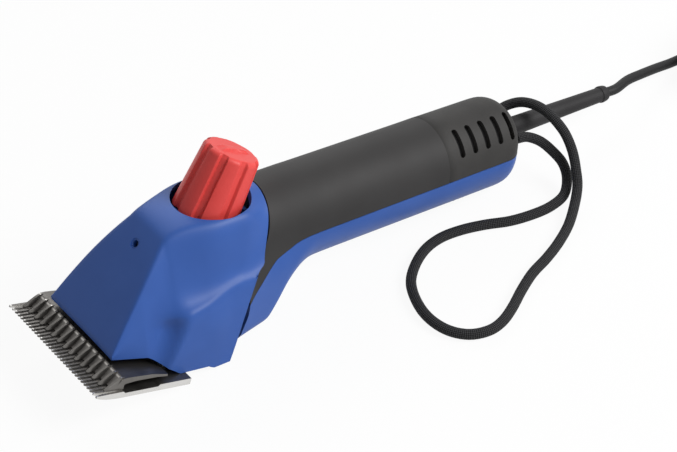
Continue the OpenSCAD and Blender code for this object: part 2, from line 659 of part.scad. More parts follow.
// Tension stack
module tension_bushing() color("goldenrod") in_knob() difference() {
    translate([0, 0, bush_low]) cylinder(r = bush_r, h = recess_floor - bush_low);
    translate([0, 0, bush_low - 1]) cylinder(r = spring_bore_r, h = bush_step - bush_low + 1);
    translate([0, 0, bush_step - 1]) cylinder(r = screw_r + shaft_clear, h = 60);
}
screw_grip = 14;
module tension_screw() color("silver") in_knob()
    translate([0, 0, screw_tip]) cylinder(r = screw_r, h = screw_grip - screw_tip);
module spring_seat() color("silver") in_knob()
    translate([0, 0, screw_tip - eps - seat_t]) cylinder(r = seat_r, h = seat_t);
module tension_pin() color("silver") in_knob() {
    translate([0, 0, flange_top - flange_t]) cylinder(r = seat_r, h = flange_t);
    translate([0, 0, ball_k]) cylinder(r = ball_r, h = flange_top - ball_k);
    translate([0, 0, ball_k]) sphere(r = ball_r);
}
// Round wire swept along points; each ring stands square to the path
function sweep_ring(path, i, r, sides) = let (
    n = len(path),
    d = path[min(n - 1, i + 1)] - path[max(0, i - 1)],
    t = d / norm(d),
    side = abs(t[2]) > 0.9 ? [1, 0, 0] : [0, 0, 1],
    a = cross(side, t) / norm(cross(side, t)),
    b = cross(t, a))
    [for (k = [0:sides - 1]) path[i] + r * (a * cos(360 * k / sides) + b * sin(360 * k / sides))];
// Least distance between two windings of a path, less the wire's thickness
function least_gap(path, apart, wire) = min([for (i = [0:len(path) - 1])
    for (j = [i + apart:1:len(path) - 1]) norm(path[i] - path[j]) - wire]);
module tube(path, r, sides) loft([for (i = [len(path) - 1:-1:0]) sweep_ring(path, i, r, sides)]);
module tension_spring() color("silver") in_knob() {
    low = flange_top + spring_wire / 2;
    high = screw_tip - eps - seat_t - spring_wire / 2;
    steps = 8 * spring_curls;
    route = [for (i = [0:steps]) [
        spring_r * cos(360 * i / 8), spring_r * sin(360 * i / 8), mix(low, high, i / steps)]];
    echo(least_gap_of_spring = least_gap(route, 4, spring_wire));
    tube(route, spring_wire / 2, 6);
}
knob_round = 2.5;
knob_taper = 1;
groove = 1.6;
rib_w = 5.8;
module tension_knob() color("firebrick") in_knob() difference() {
    intersection() {
        rotate_extrude($fn = 96) polygon(concat(
            [[0, 0], [knob_r, 0]],
            [for (a = [0:15:90]) [knob_r - knob_taper, knob_h] + knob_round * [cos(a) - 1, sin(a) - 1]],
            [[0, knob_h]]));
        union() {
            translate([0, 0, -1]) cylinder(r = knob_r - groove, h = knob_h + 2);
            for (i = [0:knob_ribs - 1]) rotate([0, 0, (i + 0.5) * 360 / knob_ribs])
                translate([0, -rib_w / 2, -1]) cube([knob_r + 1, rib_w, knob_h + 2]);
        }
    }
    translate([0, 0, -1]) cylinder(r = screw_r, h = screw_grip + 1);
    translate([0, 0, -1]) cylinder(r = screw_r + 1, h = 3);
}

// Handle body: round above the axis, deeper below it, flared into a prong at the head. Lines at
// s from 0 to 1 run back from the slanted head joint to the plane grip_x, then plain sections follow.
grip_x = 25;
prong_profile = [
    [0.386, 1], [0.43, 0.74], [0.48, 0.55], [0.55, 0.38], [0.65, 0.22], [0.78, 0.09], [0.95, 0]];
boxy_profile = [[0, 1], [0.45, 0.85], [0.6, 0.5], [0.8, 0.15], [1, 0]];
prong_corner = 5;
side_depth = 16;
part_z = -2.6;
tail_drop = 21.4;
flare_s = [0, 0.15, 0.3, 0.38, 0.42, 0.46, 0.53, 0.62, 0.75, 0.9];
end_angles = [0, 30, 55, 78];
end_x = handle_len - rear_round;
end_wall = 3;
function flare(s) = pow(1 - s, 1.3);
function part_at(s) = part_z - tail_drop * pow(1 - s, 3.2);
function grip_r(x, t) = mix(handle_r, rear_r, max(0, x) / handle_len) - t;
function side_y(r, wide, z) = mix(r, wide, smooth(0, 1, min(1, -z / side_depth)));
// Upper half line from the top middle to the parting line
function upper_half(r, wide, zp) = concat(
    [for (a = [0:15:90]) [r * sin(a), r * cos(a)]],
    [for (f = [0.2, 0.31, 0.65, 1]) [side_y(r, wide, zp * f), zp * f]]);
// Lower half line from the parting line to the bottom middle
function lower_half(r, wide, zp, low, rc) = let (deep = low - rc) concat(
    [for (k = [0:3]) let (z = mix(zp, -deep, k / 3)) [side_y(r, wide, z), z]],
    [for (a = [18:18:72]) [wide - rc + rc * cos(a), -deep - rc * sin(a)]],
    [[max(0.3, wide - rc) * 0.6, -low], [0, -low]]);
function full_line(h, flip) = flip
    ? concat([for (i = [0:len(h) - 1]) [-h[i][0], h[i][1]]], [for (i = [len(h) - 2:-1:0]) h[i]])
    : concat([for (i = [len(h) - 1:-1:1]) [-h[i][0], h[i][1]]], h);
function flared_line(s, t, gap, upper) = let (
    r = grip_r(0, t),
    wide = mix(r, prong_w / 2 - t, flare(s)),
    low = handle_drop + prong_drop * lookup(s, prong_profile) - t,
    zp = part_at(s) + (upper ? gap : -gap),
    corner = mix(r, prong_corner, lookup(s, boxy_profile)),
    h = upper ? upper_half(r, wide, zp) : lower_half(r, wide, zp, low, corner))
    [for (p = full_line(h, !upper)) [mix(joint_x(p[1]) + 2 * seam_gap, grip_x, s), p[0], p[1]]];
function plain_line(x, shrink, t, gap, upper) = let (
    r = grip_r(x, t) - shrink,
    zp = (part_z + (upper ? gap : -gap)) * min(1, r / 12),
    h = upper ? upper_half(r, r, zp) : lower_half(r, r, zp, handle_drop - t - shrink, r))
    [for (p = full_line(h, !upper)) [x, p[0], p[1]]];
function end_lines(t, gap, upper) = concat(
    [for (a = end_angles) plain_line(
        min(end_x + rear_round * sin(a), handle_len) - (t > 0 ? end_wall * sin(a) : 0),
        rear_round * (1 - cos(a)) * (t > 0 ? 0.9 : 1), t, gap, upper)],
    [plain_line(handle_len - (t > 0 ? end_wall : 0), grip_r(handle_len, t) - boot_r + 2, t, gap, upper)]);
function front_lines(t, gap, upper) = concat(
    [for (s = flare_s) flared_line(s, t, gap, upper)],
    [plain_line(grip_x, 0, t, gap, upper)]);
half_gap = seam_gap / 2;
function upper_lines(t) = concat(
    front_lines(t, half_gap, true), [plain_line(cap_joint - half_gap, 0, t, half_gap, true)]);
function cap_lines(t) = concat(
    [plain_line(cap_joint + half_gap, 0, t, half_gap, true)], end_lines(t, half_gap, true));
function lower_lines(t) = concat(front_lines(t, half_gap, false), end_lines(t, half_gap, false));

// Two rubber mounts that hold the stator inside the shells
mount_x = [stack_x + 3, stack_x + stack_len - 6];
mount_t = 3;
mount_clear = 0.25;
module stator_mounts() color("dimgray") in_row()
    for (x = mount_x) along_x(x) linear_extrude(mount_t) difference() {
        grip_section(x, shell_wall + mount_clear);
        circle(r = stator_r);
    }
// Cross section of the plain grip; drawn with -x up because along_x turns it that way
module grip_section(x, t) {
    circle(r = grip_r(x, t));
    translate([handle_drop - grip_r(x, 0), 0]) circle(r = grip_r(x, t));
    translate([0, -grip_r(x, t)]) square([handle_drop - grip_r(x, 0), 2 * grip_r(x, t)]);
}
hole_clear = 0.2;
module rear_holes() {
    rod(boot_r, 20, handle_len - 10);
    for (s = [-1, 1]) rod(loop_r + hole_clear, 20, handle_len - 12, anchor_z, s * anchor_y);
}
module handle_upper() color("dimgray") in_row() shell_loft(upper_lines(0), upper_lines(shell_wall));
module handle_lower() color("royalblue") in_row() difference() {
    shell_loft(lower_lines(0), lower_lines(shell_wall));
    rear_holes();
    switch_window();
    shell_screw_holes(0.2);
}
vent_top = 24;
vent_span = 42;
vent_len = 2 * rear_r * sin(vent_span / 2);
vent_x = cap_joint + 9;
module vent_slots() for (i = [0:vent_count - 1], a = [vent_top + vent_span / 2, -vent_top - vent_span / 2])
    translate([vent_x + i * vent_pitch, 0, 0]) rotate([a, 0, 0]) linear_extrude(30) {
        square([vent_w, vent_len - vent_w], center = true);
        for (s = [-1, 1]) translate([0, s * (vent_len - vent_w) / 2]) circle(d = vent_w);
    }
module rear_cap() color("dimgray") in_row() difference() {
    shell_loft(cap_lines(0), cap_lines(shell_wall));
    vent_slots();
    rear_holes();
}
module air_filter() color("dimgray") in_row() along_x(cap_joint + 5) rotate([0, 0, 105])
    rotate_extrude(angle = 150) translate([rear_r - shell_wall - 2.2, 0])
        square([2, handle_len - rear_round - cap_joint - 5]);

// Slide switch under the rear of the handle
slider_len = 20;
slider_w = 12;
slider_travel = 6;
slider_out = 1.4;
switch_x = handle_len - rear_round - slider_len - slider_travel - 1.5;
switch_rise = 2.9;
module switch_window() translate([switch_x - run_gap, -slider_w / 2 - run_gap, -handle_drop - 5])
    cube([slider_len + slider_travel + 2 * run_gap, slider_w + 2 * run_gap, 20]);
module switch_slider() color("black") in_row() translate([switch_x, 0, -handle_drop]) {
    translate([0, -slider_w / 2, -slider_out]) cube([slider_len, slider_w, 2 + slider_out + shell_wall]);
    for (i = [0:4]) translate([4 + i * 3, -slider_w / 2, -slider_out - 0.6]) cube([1.2, slider_w, 0.7]);
}
module switch_body() color("gray") in_row()
    translate([switch_x - 1, -9, -handle_drop + shell_wall + switch_rise])
        cube([slider_len + slider_travel + 2, 18, 9]);
// Height of the lower shell's inner face at a place along and across the handle
function belly_z(x, y) = grip_r(x, 0) - handle_drop - sqrt(pow(grip_r(x, shell_wall), 2) - y * y);
suppressor_w = 10;
suppressor_x = rear_plate_x + rear_plate_t + 3;
module suppressor() color("goldenrod") in_row()
    translate([suppressor_x, -suppressor_w / 2, belly_z(suppressor_x + 12, suppressor_w / 2) + run_gap / 2])
        cube([12, suppressor_w, 8]);

// Gear case and rear bracket fill the shells' hollow
bracket_clear = 0.25;
module bracket(x, t) along_x(x) linear_extrude(t) grip_section(x + t, shell_wall + bracket_clear);
module gear_case() color("lightgray") in_row() difference() {
    union() {
        bracket(case_x, case_t);
        for (p = [upper_screw, lower_screw], s = [-1, 1]) rod(3, 14 + case_x, -14, p[1], s * p[0]);
    }
    rod(bearing_r, bearing_w + 1, case_x - 1 + 0.5);
    rod(shaft_r + 1, 20, case_x - 2);
    rod(crank_bush_r, 30, case_x - 10, -gear_drop);
    for (p = [upper_screw, lower_screw], s = [-1, 1]) rod(screw_core_r + 0.1, 60, -30, p[1], s * p[0]);
}
screw_head_r = 2.6;
screw_tips = [-27, bed_end * cos(blade_tilt) - tip_reach - 2.2];
module head_screws() color("silver") in_row()
    for (i = [0, 1], s = [-1, 1]) let (p = [upper_screw, lower_screw][i]) {
        rod(screw_core_r, case_x + case_t - screw_tips[i], screw_tips[i], p[1], s * p[0]);
        rod(screw_head_r, 2, case_x + case_t, p[1], s * p[0]);
    }
module bed_screws() color("silver") in_blade()
    for (s = [-1, 1]) translate([bed_boss_u, s * bed_boss_y, bed_lift]) {
        cylinder(r = bed_screw_head_r, h = bed_screw_head_h);
        cylinder(r = screw_core_r, h = bed_top - bed_lift + pillar_thread - eps);
    }
module bearing(x, r_in, r_out, w) {
    wall = (r_out - r_in) / 3.2;
    ring(r_out, r_out - wall, w, x);
    ring(r_in + wall, r_in, w, x);
    for (i = [0:7]) rotate([45 * i, 0, 0]) translate([x + w / 2, 0, (r_in + r_out) / 2])
        sphere(r = wall * 0.62);
}
module front_bearing() color("silver") in_row()
    bearing(case_x + 0.5, shaft_r + shaft_clear, bearing_r, bearing_w);
module rear_bearing() color("silver") in_row()
    bearing(rear_plate_x + 0.5, shaft_r + shaft_clear, bearing_r, bearing_w);
lug_w = 8;
module rear_bracket() color("lightgray") in_row() difference() {
    union() {
        bracket(rear_plate_x, rear_plate_t);
        for (s = [-1, 1]) translate([rear_plate_x + rear_plate_t - 1, s * shell_screw_y - lug_w / 2, -16])
            cube([12, lug_w, 12]);
    }
    shell_screw_holes(0);
    rod(bearing_r, bearing_w + 1, rear_plate_x - 0.5);
    rod(shaft_r + 1, 20, rear_plate_x - 2);
    for (a = [45:90:315]) rotate([a, 0, 0]) rod(3, 20, rear_plate_x - 5, 13);
}
crank_shaft_r = 2.5;
crank_bush_r = 4.5;
crank_pin_r = 2;
module crank_bearing() color("goldenrod") in_row()
    ring(crank_bush_r, crank_shaft_r + shaft_clear, case_t + 2, case_x - 0.5, -gear_drop);
module crank_shaft() color("silver") in_row() {
    rod(crank_shaft_r, case_x + case_t + 2 - gear_x, gear_x, -gear_drop);
    rod(crank_shaft_r + 1.6, 1.5, gear_x - 1.5, -gear_drop);
    rod(crank_pin_r, gear_x - 1.5 - roller_x, roller_x, -gear_drop + crank_throw);
}
module crank_roller() color("silver") in_row()
    ring(roller_r, crank_pin_r, roller_len, roller_x, -gear_drop + crank_throw);

// Involute gear outlines
function inv(a) = tan(a) * 180 / PI - a;
function flank_turn(r, base, half) = half + inv(20) - inv(acos(min(1, base / r)));
function gear_outline(teeth, m, slack) = let (
    r = teeth * m / 2,
    base = r * cos(20),
    root = r - 1.25 * m,
    tip = r + m,
    half = 90 / teeth - slack / r * 90 / PI,
    radii = [for (i = [0:4]) mix(max(base, root), tip, i / 4)]) [
        for (k = [0:teeth - 1]) let (a = 360 * k / teeth) each concat(
            [root * [cos(a - flank_turn(base, base, half)), sin(a - flank_turn(base, base, half))]],
            [for (q = radii) q * [cos(a - flank_turn(q, base, half)), sin(a - flank_turn(q, base, half))]],
            [for (i = [4:-1:0]) let (q = radii[i])
                q * [cos(a + flank_turn(q, base, half)), sin(a + flank_turn(q, base, half))]],
            [root * [cos(a + flank_turn(base, base, half)), sin(a + flank_turn(base, base, half))]])];
mesh_slack = 0.08;
module gear(teeth, w, x, z, bore) difference() {
    along_x(x, z) rotate([0, 0, 180]) linear_extrude(w) polygon(gear_outline(teeth, gear_module, mesh_slack));
    rod(bore, w + 2 * eps, x - eps, z);
}
module drive_gear() color("ivory") in_row() gear(gear_teeth, gear_w, gear_x, -gear_drop, crank_shaft_r);
pinion_bore = 1.6;
module pinion() color("silver") in_row() gear(pinion_teeth, gear_w + 2, gear_x - 1, 0, pinion_bore);

// Motor
module armature_shaft() color("silver") in_row() {
    rod(pinion_bore, case_x - 0.4 - gear_x + 2, gear_x - 2);
    rod(shaft_r, rear_plate_x + rear_plate_t + 2 - case_x, case_x - 0.4);
}
air_gap = 0.4;
module armature_core() color("slategray") in_row() difference() {
    ring(armature_r, shaft_r, stack_len, stack_x);
    for (i = [0:11]) rotate([30 * i, 0, 0]) translate([stack_x - 1, -0.6, armature_r - 5])
        cube([stack_len + 2, 1.2, 8]);
}
winding_len = 5;
module armature_windings() color("chocolate") in_row() for (x = [stack_x - winding_len, stack_x + stack_len])
    ring(armature_r - 1.5, shaft_r, winding_len, x);
comm_x = stack_x + stack_len + 7;
comm_len = 11;
comm_r = 7;
module commutator() color("peru") in_row() difference() {
    ring(comm_r, shaft_r, comm_len, comm_x);
    for (i = [0:11]) rotate([30 * i, 0, 0]) translate([comm_x - 1, -0.25, comm_r - 0.8])
        cube([comm_len - 1, 0.5, 2]);
}
fan_x = case_x + case_t + 3;
fan_len = 8;
fan_r = stator_r - 1;
fan_hub_r = 6;
fan_plate = 1.5;
fan_blades = 9;
blade_t = 1.2;
module cooling_fan() color("ivory") in_row() difference() {
    union() {
        rod(fan_hub_r, fan_len, fan_x);
        rod(fan_r, fan_plate, fan_x + fan_len - fan_plate);
        for (i = [0:fan_blades - 1]) rotate([360 / fan_blades * i + 7, 0, 0])
            translate([fan_x + 0.5, -blade_t / 2, shaft_r + 2])
                cube([fan_len - 1, blade_t, fan_r - shaft_r - 2.6]);
    }
    rod(shaft_r, fan_len + 2, fan_x - 1);
}
field_in = armature_r + air_gap + 1.2;
field_out = stator_r - 2.6;
field_arc = 100;
slot_gap = 0.15;
module stator_core() color("slategray") in_row() difference() {
    ring(stator_r, armature_r + air_gap, stack_len, stack_x);
    for (a = [0, 180]) along_x(stack_x - 1) rotate([0, 0, a - field_arc / 2 - 1.5])
        rotate_extrude(angle = field_arc + 3) translate([field_in - slot_gap, 0])
            square([field_out - field_in + 2 * slot_gap, stack_len + 2]);
}
module field_coils() color("chocolate") in_row() for (a = [0, 180]) along_x(stack_x - winding_len)
    rotate([0, 0, a - field_arc / 2]) rotate_extrude(angle = field_arc)
        translate([field_in, 0]) square([field_out - field_in, stack_len + 2 * winding_len]);
ring_r = stator_r;
ring_len = 9;
brush_w = 4.6;
brush_len = 6.4;
holder_w = brush_w + 1.6;
brush_x = comm_x + comm_len / 2;
module brush_ring() color("saddlebrown") in_row() difference() {
    ring(ring_r, ring_r - 4, ring_len, brush_x - ring_len / 2);
    for (s = [-1, 1]) translate([brush_x, s * ring_r, 0]) cube([holder_w, 20, holder_w], center = true);
}
module brush_part(r0, r1, w) for (s = [-1, 1]) translate([brush_x - w / 2, s > 0 ? r0 : -r1, -w / 2])
    cube([w, r1 - r0, w]);
module brush_holders() color("goldenrod") in_row() difference() {
    brush_part(comm_r + 1.2, ring_r, holder_w);
    brush_part(comm_r - 1, ring_r - 1, brush_w);
}
module carbon_brushes() color("black") in_row() brush_part(comm_r + 0.1, comm_r + 0.1 + brush_len, brush_w);
module brush_springs() color("silver") in_row()
    for (s = [-1, 1]) translate([brush_x, s * (comm_r + 0.1 + brush_len), 0])
        rotate([-90 * s, 0, 0]) cylinder(r = 1.9, h = ring_r - 1 - comm_r - 0.1 - brush_len);

// Screws from below that pull the lower shell to lugs behind the rear bracket
shell_screw_x = rear_plate_x + rear_plate_t + 6;
shell_screw_y = 10;
shell_screw_r = 1.4;
shell_screw_top = -5;
shell_head_r = 2.8;
screw_seat_z = -handle_drop + 4.4;
module shell_screw_holes(slack) for (s = [-1, 1])
    translate([shell_screw_x, s * shell_screw_y, -handle_drop - 5]) {
        cylinder(r = shell_screw_r + slack, h = handle_drop + 5 + shell_screw_top);
        cylinder(r = shell_head_r + slack, h = 5 + handle_drop + screw_seat_z + 1);
    }
module handle_screws() color("silver") in_row() for (s = [-1, 1])
    translate([shell_screw_x, s * shell_screw_y, screw_seat_z]) {
        translate([0, 0, -1.6]) cylinder(r = shell_head_r, h = 1.6);
        cylinder(r = shell_screw_r, h = shell_screw_top - screw_seat_z);
    }

// Rear end: clamp, strain relief, loop anchor
boot_root = 10;
collar = 1.6;
collar_len = boot_root - end_wall - 0.2;
boot_lip = 0.5;
module strain_relief() color("dimgray") in_row() along_x(handle_len - boot_root) rotate_extrude() polygon([
    [0, 0], [boot_r + collar, 0], [boot_r + collar, collar_len], [boot_r, collar_len],
    [boot_r, boot_root + 4], [boot_r - 0.4, boot_root + 6],
    [mix(boot_r, boot_end_r, 0.85), boot_root + boot_len - 4],
    [boot_end_r + boot_lip, boot_root + boot_len - 3.5], [boot_end_r, boot_root + boot_len],
    [0, boot_root + boot_len]]);
clamp_len = 6;
clamp_w = 14;
module cord_clamp() color("dimgray") in_row()
    translate([handle_len - boot_root - 2 - clamp_len, -clamp_w / 2, -6]) cube([clamp_len, clamp_w, 12]);
// Stop knots of the wrist loop behind its two holes
knot_r = 4;
module loop_anchor() color("dimgray") in_row()
    for (s = [-1, 1]) rod(knot_r, 4, handle_len - 16, anchor_z, s * anchor_y);

// Wrist loop: a round braided strap from the near hole of the rear cap, out over the table and back over
// the boot to the far hole
module wrist_loop() color("black") tube(loop_route, loop_r, 8);

// Mains cord: free stretch, coil, and lead to the plug
module mains_cord() color("dimgray") tube(cord_route, cord_r, 8);
module cord_coil() color("dimgray") {
    echo(least_gap_of_coil = least_gap(coil_route, coil_rings / 2, cord_d));
    tube(coil_route, cord_r, 6);
}
module plug_lead() color("dimgray") tube(lead_route, cord_r, 8);
module coil_tie() color("black")
    translate([coil_centre[0] + coil_in - tie_gap, coil_centre[1] - tie_w / 2, 0])
        rotate([-90, 0, 0]) mirror([0, 1, 0]) linear_extrude(tie_w) difference() {
            square([coil_out - coil_in + 2 * tie_gap, coil_top + tie_gap]);
            translate([tie_t, tie_t])
                square([coil_out - coil_in + 2 * (tie_gap - tie_t), coil_top + tie_gap - 2 * tie_t]);
        }

// Plug with two round pins, lying flat beside the coil
module plug_body() color("dimgray") translate(plug_at) rotate([90, 0, 0]) {
    cylinder(r1 = cord_r + 1.2, r2 = plug_t / 2, h = plug_neck);
    translate([0, 0, plug_neck]) linear_extrude(plug_len) {
        square([plug_w - plug_t, plug_t], center = true);
        for (s = [-1, 1]) translate([s * (plug_w - plug_t) / 2, 0]) circle(d = plug_t);
    }
}
module plug_pins() color("silver") for (s = [-1, 1])
    translate(plug_at + [s * pin_spread / 2, -plug_neck - plug_len, 0]) rotate([90, 0, 0]) {
        cylinder(d = pin_d, h = pin_len - pin_d / 2);
        translate([0, 0, pin_len - pin_d / 2]) sphere(d = pin_d);
    }

head_housing();
knob_cup();
screw_pillars();
comb_bed();
bed_posts();
comb();
comb_screws();
fulcrum_post();
tension_bushing();
bed_screws();
head_screws();
gear_case();
front_bearing();
crank_bearing();
stator_mounts();
stator_core();
field_coils();
brush_ring();
brush_holders();
carbon_brushes();
brush_springs();
rear_bracket();
rear_bearing();
handle_upper();
handle_lower();
rear_cap();
air_filter();
switch_body();
suppressor();
handle_screws();
cord_clamp();
strain_relief();
loop_anchor();
tension_pin();
tension_knob();
tension_screw();
spring_seat();
tension_spring();
lever();
lever_cones();
cutter();
crank_shaft();
drive_gear();
crank_roller();
armature_shaft();
armature_core();
armature_windings();
commutator();
cooling_fan();
pinion();
switch_slider();
wrist_loop();
mains_cord();
cord_coil();
plug_lead();
coil_tie();
plug_body();
plug_pins();
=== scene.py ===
# %% [markdown]
# # An electric animal clipper, dressed for a picture
# The packed CAD model is the fixed frame: every piece made here sits where the solids say, in metres,
# and rides on the body that carries it. This lesson takes the clipper piece by piece, from the camera and
# the cords to the moulded shells and the ground steel of the blades.

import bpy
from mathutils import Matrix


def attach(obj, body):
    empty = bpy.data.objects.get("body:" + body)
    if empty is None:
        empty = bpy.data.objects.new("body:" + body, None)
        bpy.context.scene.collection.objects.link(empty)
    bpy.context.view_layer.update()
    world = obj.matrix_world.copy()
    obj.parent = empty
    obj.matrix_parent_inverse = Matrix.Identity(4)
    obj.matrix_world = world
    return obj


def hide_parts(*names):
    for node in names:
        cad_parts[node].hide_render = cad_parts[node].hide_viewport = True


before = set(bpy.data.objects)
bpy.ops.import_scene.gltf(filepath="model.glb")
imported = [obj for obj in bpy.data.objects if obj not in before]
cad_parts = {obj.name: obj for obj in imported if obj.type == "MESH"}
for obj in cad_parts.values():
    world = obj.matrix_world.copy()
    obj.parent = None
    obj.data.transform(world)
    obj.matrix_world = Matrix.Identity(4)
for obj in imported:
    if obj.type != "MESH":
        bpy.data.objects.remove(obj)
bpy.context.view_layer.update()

import math

import bmesh
import bpy
import numpy as np
from mathutils import Matrix, Vector

MM = 0.001
scene = bpy.context.scene

# %% [markdown]
# ## The camera
# The picture looks down on the blades from the front left with a long lens, so the head is large and the
# lead runs away to the upper right. A camera is placed by its three axes, written as the columns of a
# matrix, because these were solved from the clipper's own points and leave nothing to turn by hand.

# %% Camera
CAMERA_AT = (-479.92, -641.86, 683.87)
CAMERA_RIGHT = (0.80014, -0.59974, -0.0095)
CAMERA_UP = (0.39142, 0.51009, 0.76589)
CAMERA_BACK = (-0.45449, -0.61654, 0.6429)
FOCAL_MM, SENSOR_MM = 113.4, 36

lens = bpy.data.cameras.new("photo_camera")
lens.lens = FOCAL_MM
lens.sensor_width = SENSOR_MM
lens.clip_start = 0.01
lens.clip_end = 50
camera = bpy.data.objects.new("photo_camera", lens)
axes = Matrix([CAMERA_RIGHT, CAMERA_UP, CAMERA_BACK]).transposed()
camera.matrix_world = Matrix.Translation(Vector(CAMERA_AT) * MM) @ axes.to_4x4()
scene.collection.objects.link(camera)
scene.camera = camera
print("camera at", [round(v, 3) for v in camera.location])

# %% [markdown]
# ## Shader maths as plain expressions
# A finish is a small network of nodes. Wrapping a socket in a class with arithmetic lets the network be read
# as a formula, and one function adds every other node with its settings and its values.

# %% Sockets with arithmetic


class Wire:
    """A shader socket that can be added, subtracted, multiplied and limited like a number."""

    def __init__(self, tree, socket):
        self.tree, self.socket = tree, socket

    def math(self, operation, *values):
        return add(self.tree, "ShaderNodeMath", {"operation": operation}, dict(enumerate(values)))

    def __add__(self, other):
        return self.math("ADD", self, other)

    def __radd__(self, other):
        return self.math("ADD", other, self)

    def __sub__(self, other):
        return self.math("SUBTRACT", self, other)

    def __rsub__(self, other):
        return self.math("SUBTRACT", other, self)

    def __mul__(self, other):
        return self.math("MULTIPLY", self, other)

    def __rmul__(self, other):
        return self.math("MULTIPLY", other, self)

    def sine(self):
        return self.math("SINE", self)

    def size(self):
        return self.math("ABSOLUTE", self)

    def at_most(self, other):
        return self.math("MINIMUM", self, other)

    def at_least(self, other):
        return self.math("MAXIMUM", self, other)

    def between(self, low, high):
        """Rises smoothly from 0 at low to 1 at high."""
        return add(self.tree, "ShaderNodeMapRange", {"interpolation_type": "SMOOTHSTEP"},
                   {"Value": self, "From Min": low, "From Max": high, "To Min": 0.0, "To Max": 1.0})


def add(tree, kind, settings=None, values=None, out=0):
    node = tree.nodes.new(kind)
    for key, value in (settings or {}).items():
        setattr(node, key, value)
    for key, value in (values or {}).items():
        socket = node.inputs[key]
        if isinstance(value, Wire):
            tree.links.new(value.socket, socket)
        else:
            socket.default_value = value
    return Wire(tree, node.outputs[out])


def paint(red, green, blue):
    """Linear colour of a paint chip given in 0 to 255 screen values."""
    return tuple(((v / 255 + 0.055) / 1.055) ** 2.4 if v > 10 else v / 3294.6 for v in (red, green, blue))


print("paint chip test:", [round(v, 3) for v in paint(65, 95, 170)])

# %% A material and its moves


class Finish:
    """A material with a Principled shader and the few moves that every finish here uses."""

    def __init__(self, name, fixed):
        self.material = bpy.data.materials.new(name)
        self.material.use_nodes = True
        self.tree = self.material.node_tree
        self.shader = self.tree.nodes["Principled BSDF"]
        for key, value in fixed.items():
            self.shader.inputs[key].default_value = value

    def add(self, kind, settings=None, values=None, out=0):
        return add(self.tree, kind, settings, values, out)

    def vector(self, operation, first, second, out=0):
        return self.add("ShaderNodeVectorMath", {"operation": operation}, {0: first, 1: second}, out)

    def place(self):
        return self.add("ShaderNodeTexCoord", out="Object")

    def noise(self, scale, detail, stretch=None):
        """Cloudy value from 0 to 1; scale is in waves a metre."""
        where = self.place()
        if stretch:
            where = self.vector("MULTIPLY", where, stretch)
        return self.add("ShaderNodeTexNoise", {}, {"Vector": where, "Scale": scale, "Detail": detail})

    def axis(self, index, vector=None):
        return self.add("ShaderNodeSeparateXYZ", {}, {0: vector or self.place()}, out=index)

    def along(self, direction, origin=(0, 0, 0)):
        """Distance in millimetres along a direction from a point, in the row frame."""
        offset = self.vector("SUBTRACT", self.place(), tuple(v * MM for v in origin))
        return self.vector("DOT_PRODUCT", offset, tuple(v / MM for v in direction), "Value")

    def facing(self, direction):
        """How far the surface looks along a direction, from -1 to 1."""
        normal = self.add("ShaderNodeNewGeometry", out="Normal")
        return self.vector("DOT_PRODUCT", normal, direction, "Value")

    def blend(self, amount, first, second):
        return self.add("ShaderNodeMix", {"data_type": "RGBA"}, {0: amount, 6: first, 7: second}, out=2)

    def tint(self, amount, first, second):
        return self.blend(amount, (*first, 1), (*second, 1))

    def feed(self, socket, wire):
        self.tree.links.new(wire.socket, self.shader.inputs[socket])
        return self

    def bump(self, height, depth):
        """Depth is the height of the bumps in metres."""
        normal = self.add("ShaderNodeBump", {}, {"Strength": 1.0, "Distance": depth, "Height": height})
        return self.feed("Normal", normal)


print("a finish can make:", [name for name in vars(Finish) if not name.startswith("_")])

# %% [markdown]
# ## The wrist loop and the mains lead come first
# Both cords have a real length, so their routes were settled with the solids and are repeated here in
# millimetres. The loop is a round braid that leaves the near hole of the rear cap, falls to the table, turns
# and goes back over the lead's boot into the far hole. A mesh tube is used because a braid needs coordinates
# that run along and round it.

# %% Placing
HANDLE_LEN = 155
BOOT_LEN = 72
REAR_ROUND = 12
HANDLE_DROP = 26.8
TIP_REACH, TIP_DROP, BLADE_TILT = 107.5, 33, math.radians(12.6)
COMB_TIP_T = 1


def from_blade(u, w):
    """Point u behind the comb's tips and w above its top face, in the handle's own frame."""
    c, s = math.cos(BLADE_TILT), math.sin(BLADE_TILT)
    return np.array([-TIP_REACH + u * c + w * s, -TIP_DROP - u * s + w * c])


SKIRT_SET, SKIRT_LEN, SKIRT_FOOT, SKIRT_RISE = 48.7, 28.3, 0.1, 1.6
SKIRT_CORNER = from_blade(SKIRT_SET + SKIRT_LEN, SKIRT_FOOT + SKIRT_RISE)
rest_span = np.array([HANDLE_LEN - REAR_ROUND, REAR_ROUND - HANDLE_DROP]) - SKIRT_CORNER
REST_TILT = math.atan2(rest_span[1], rest_span[0]) - math.asin(REAR_ROUND / np.hypot(*rest_span))
BOOT_TIP_R = 3.9


def tilted(x, z):
    c, s = math.cos(REST_TILT), math.sin(REST_TILT)
    return x * c + z * s, -x * s + z * c


TABLE_Z = tilted(*SKIRT_CORNER)[1]
MID_X = (tilted(*from_blade(0, -COMB_TIP_T))[0] + tilted(HANDLE_LEN + BOOT_LEN, BOOT_TIP_R)[0]) / 2


def to_row(points):
    """From the handle's frame to the row frame, both in millimetres."""
    points = np.asarray(points, float)
    x, z = tilted(points[..., 0], points[..., 2])
    return np.stack([x - MID_X, points[..., 1], z - TABLE_Z], axis=-1)


print("the handle lies tilted by", round(math.degrees(REST_TILT), 3), "degrees")

# %% Pieces from grids of points
SHARP = 40


def piece_of(mesh, body="frame"):
    """Object with its mesh's name; without a body it is only a tool."""
    piece = bpy.data.objects.new(mesh.name, mesh)
    scene.collection.objects.link(piece)
    if body:
        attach(piece, body)
    return piece


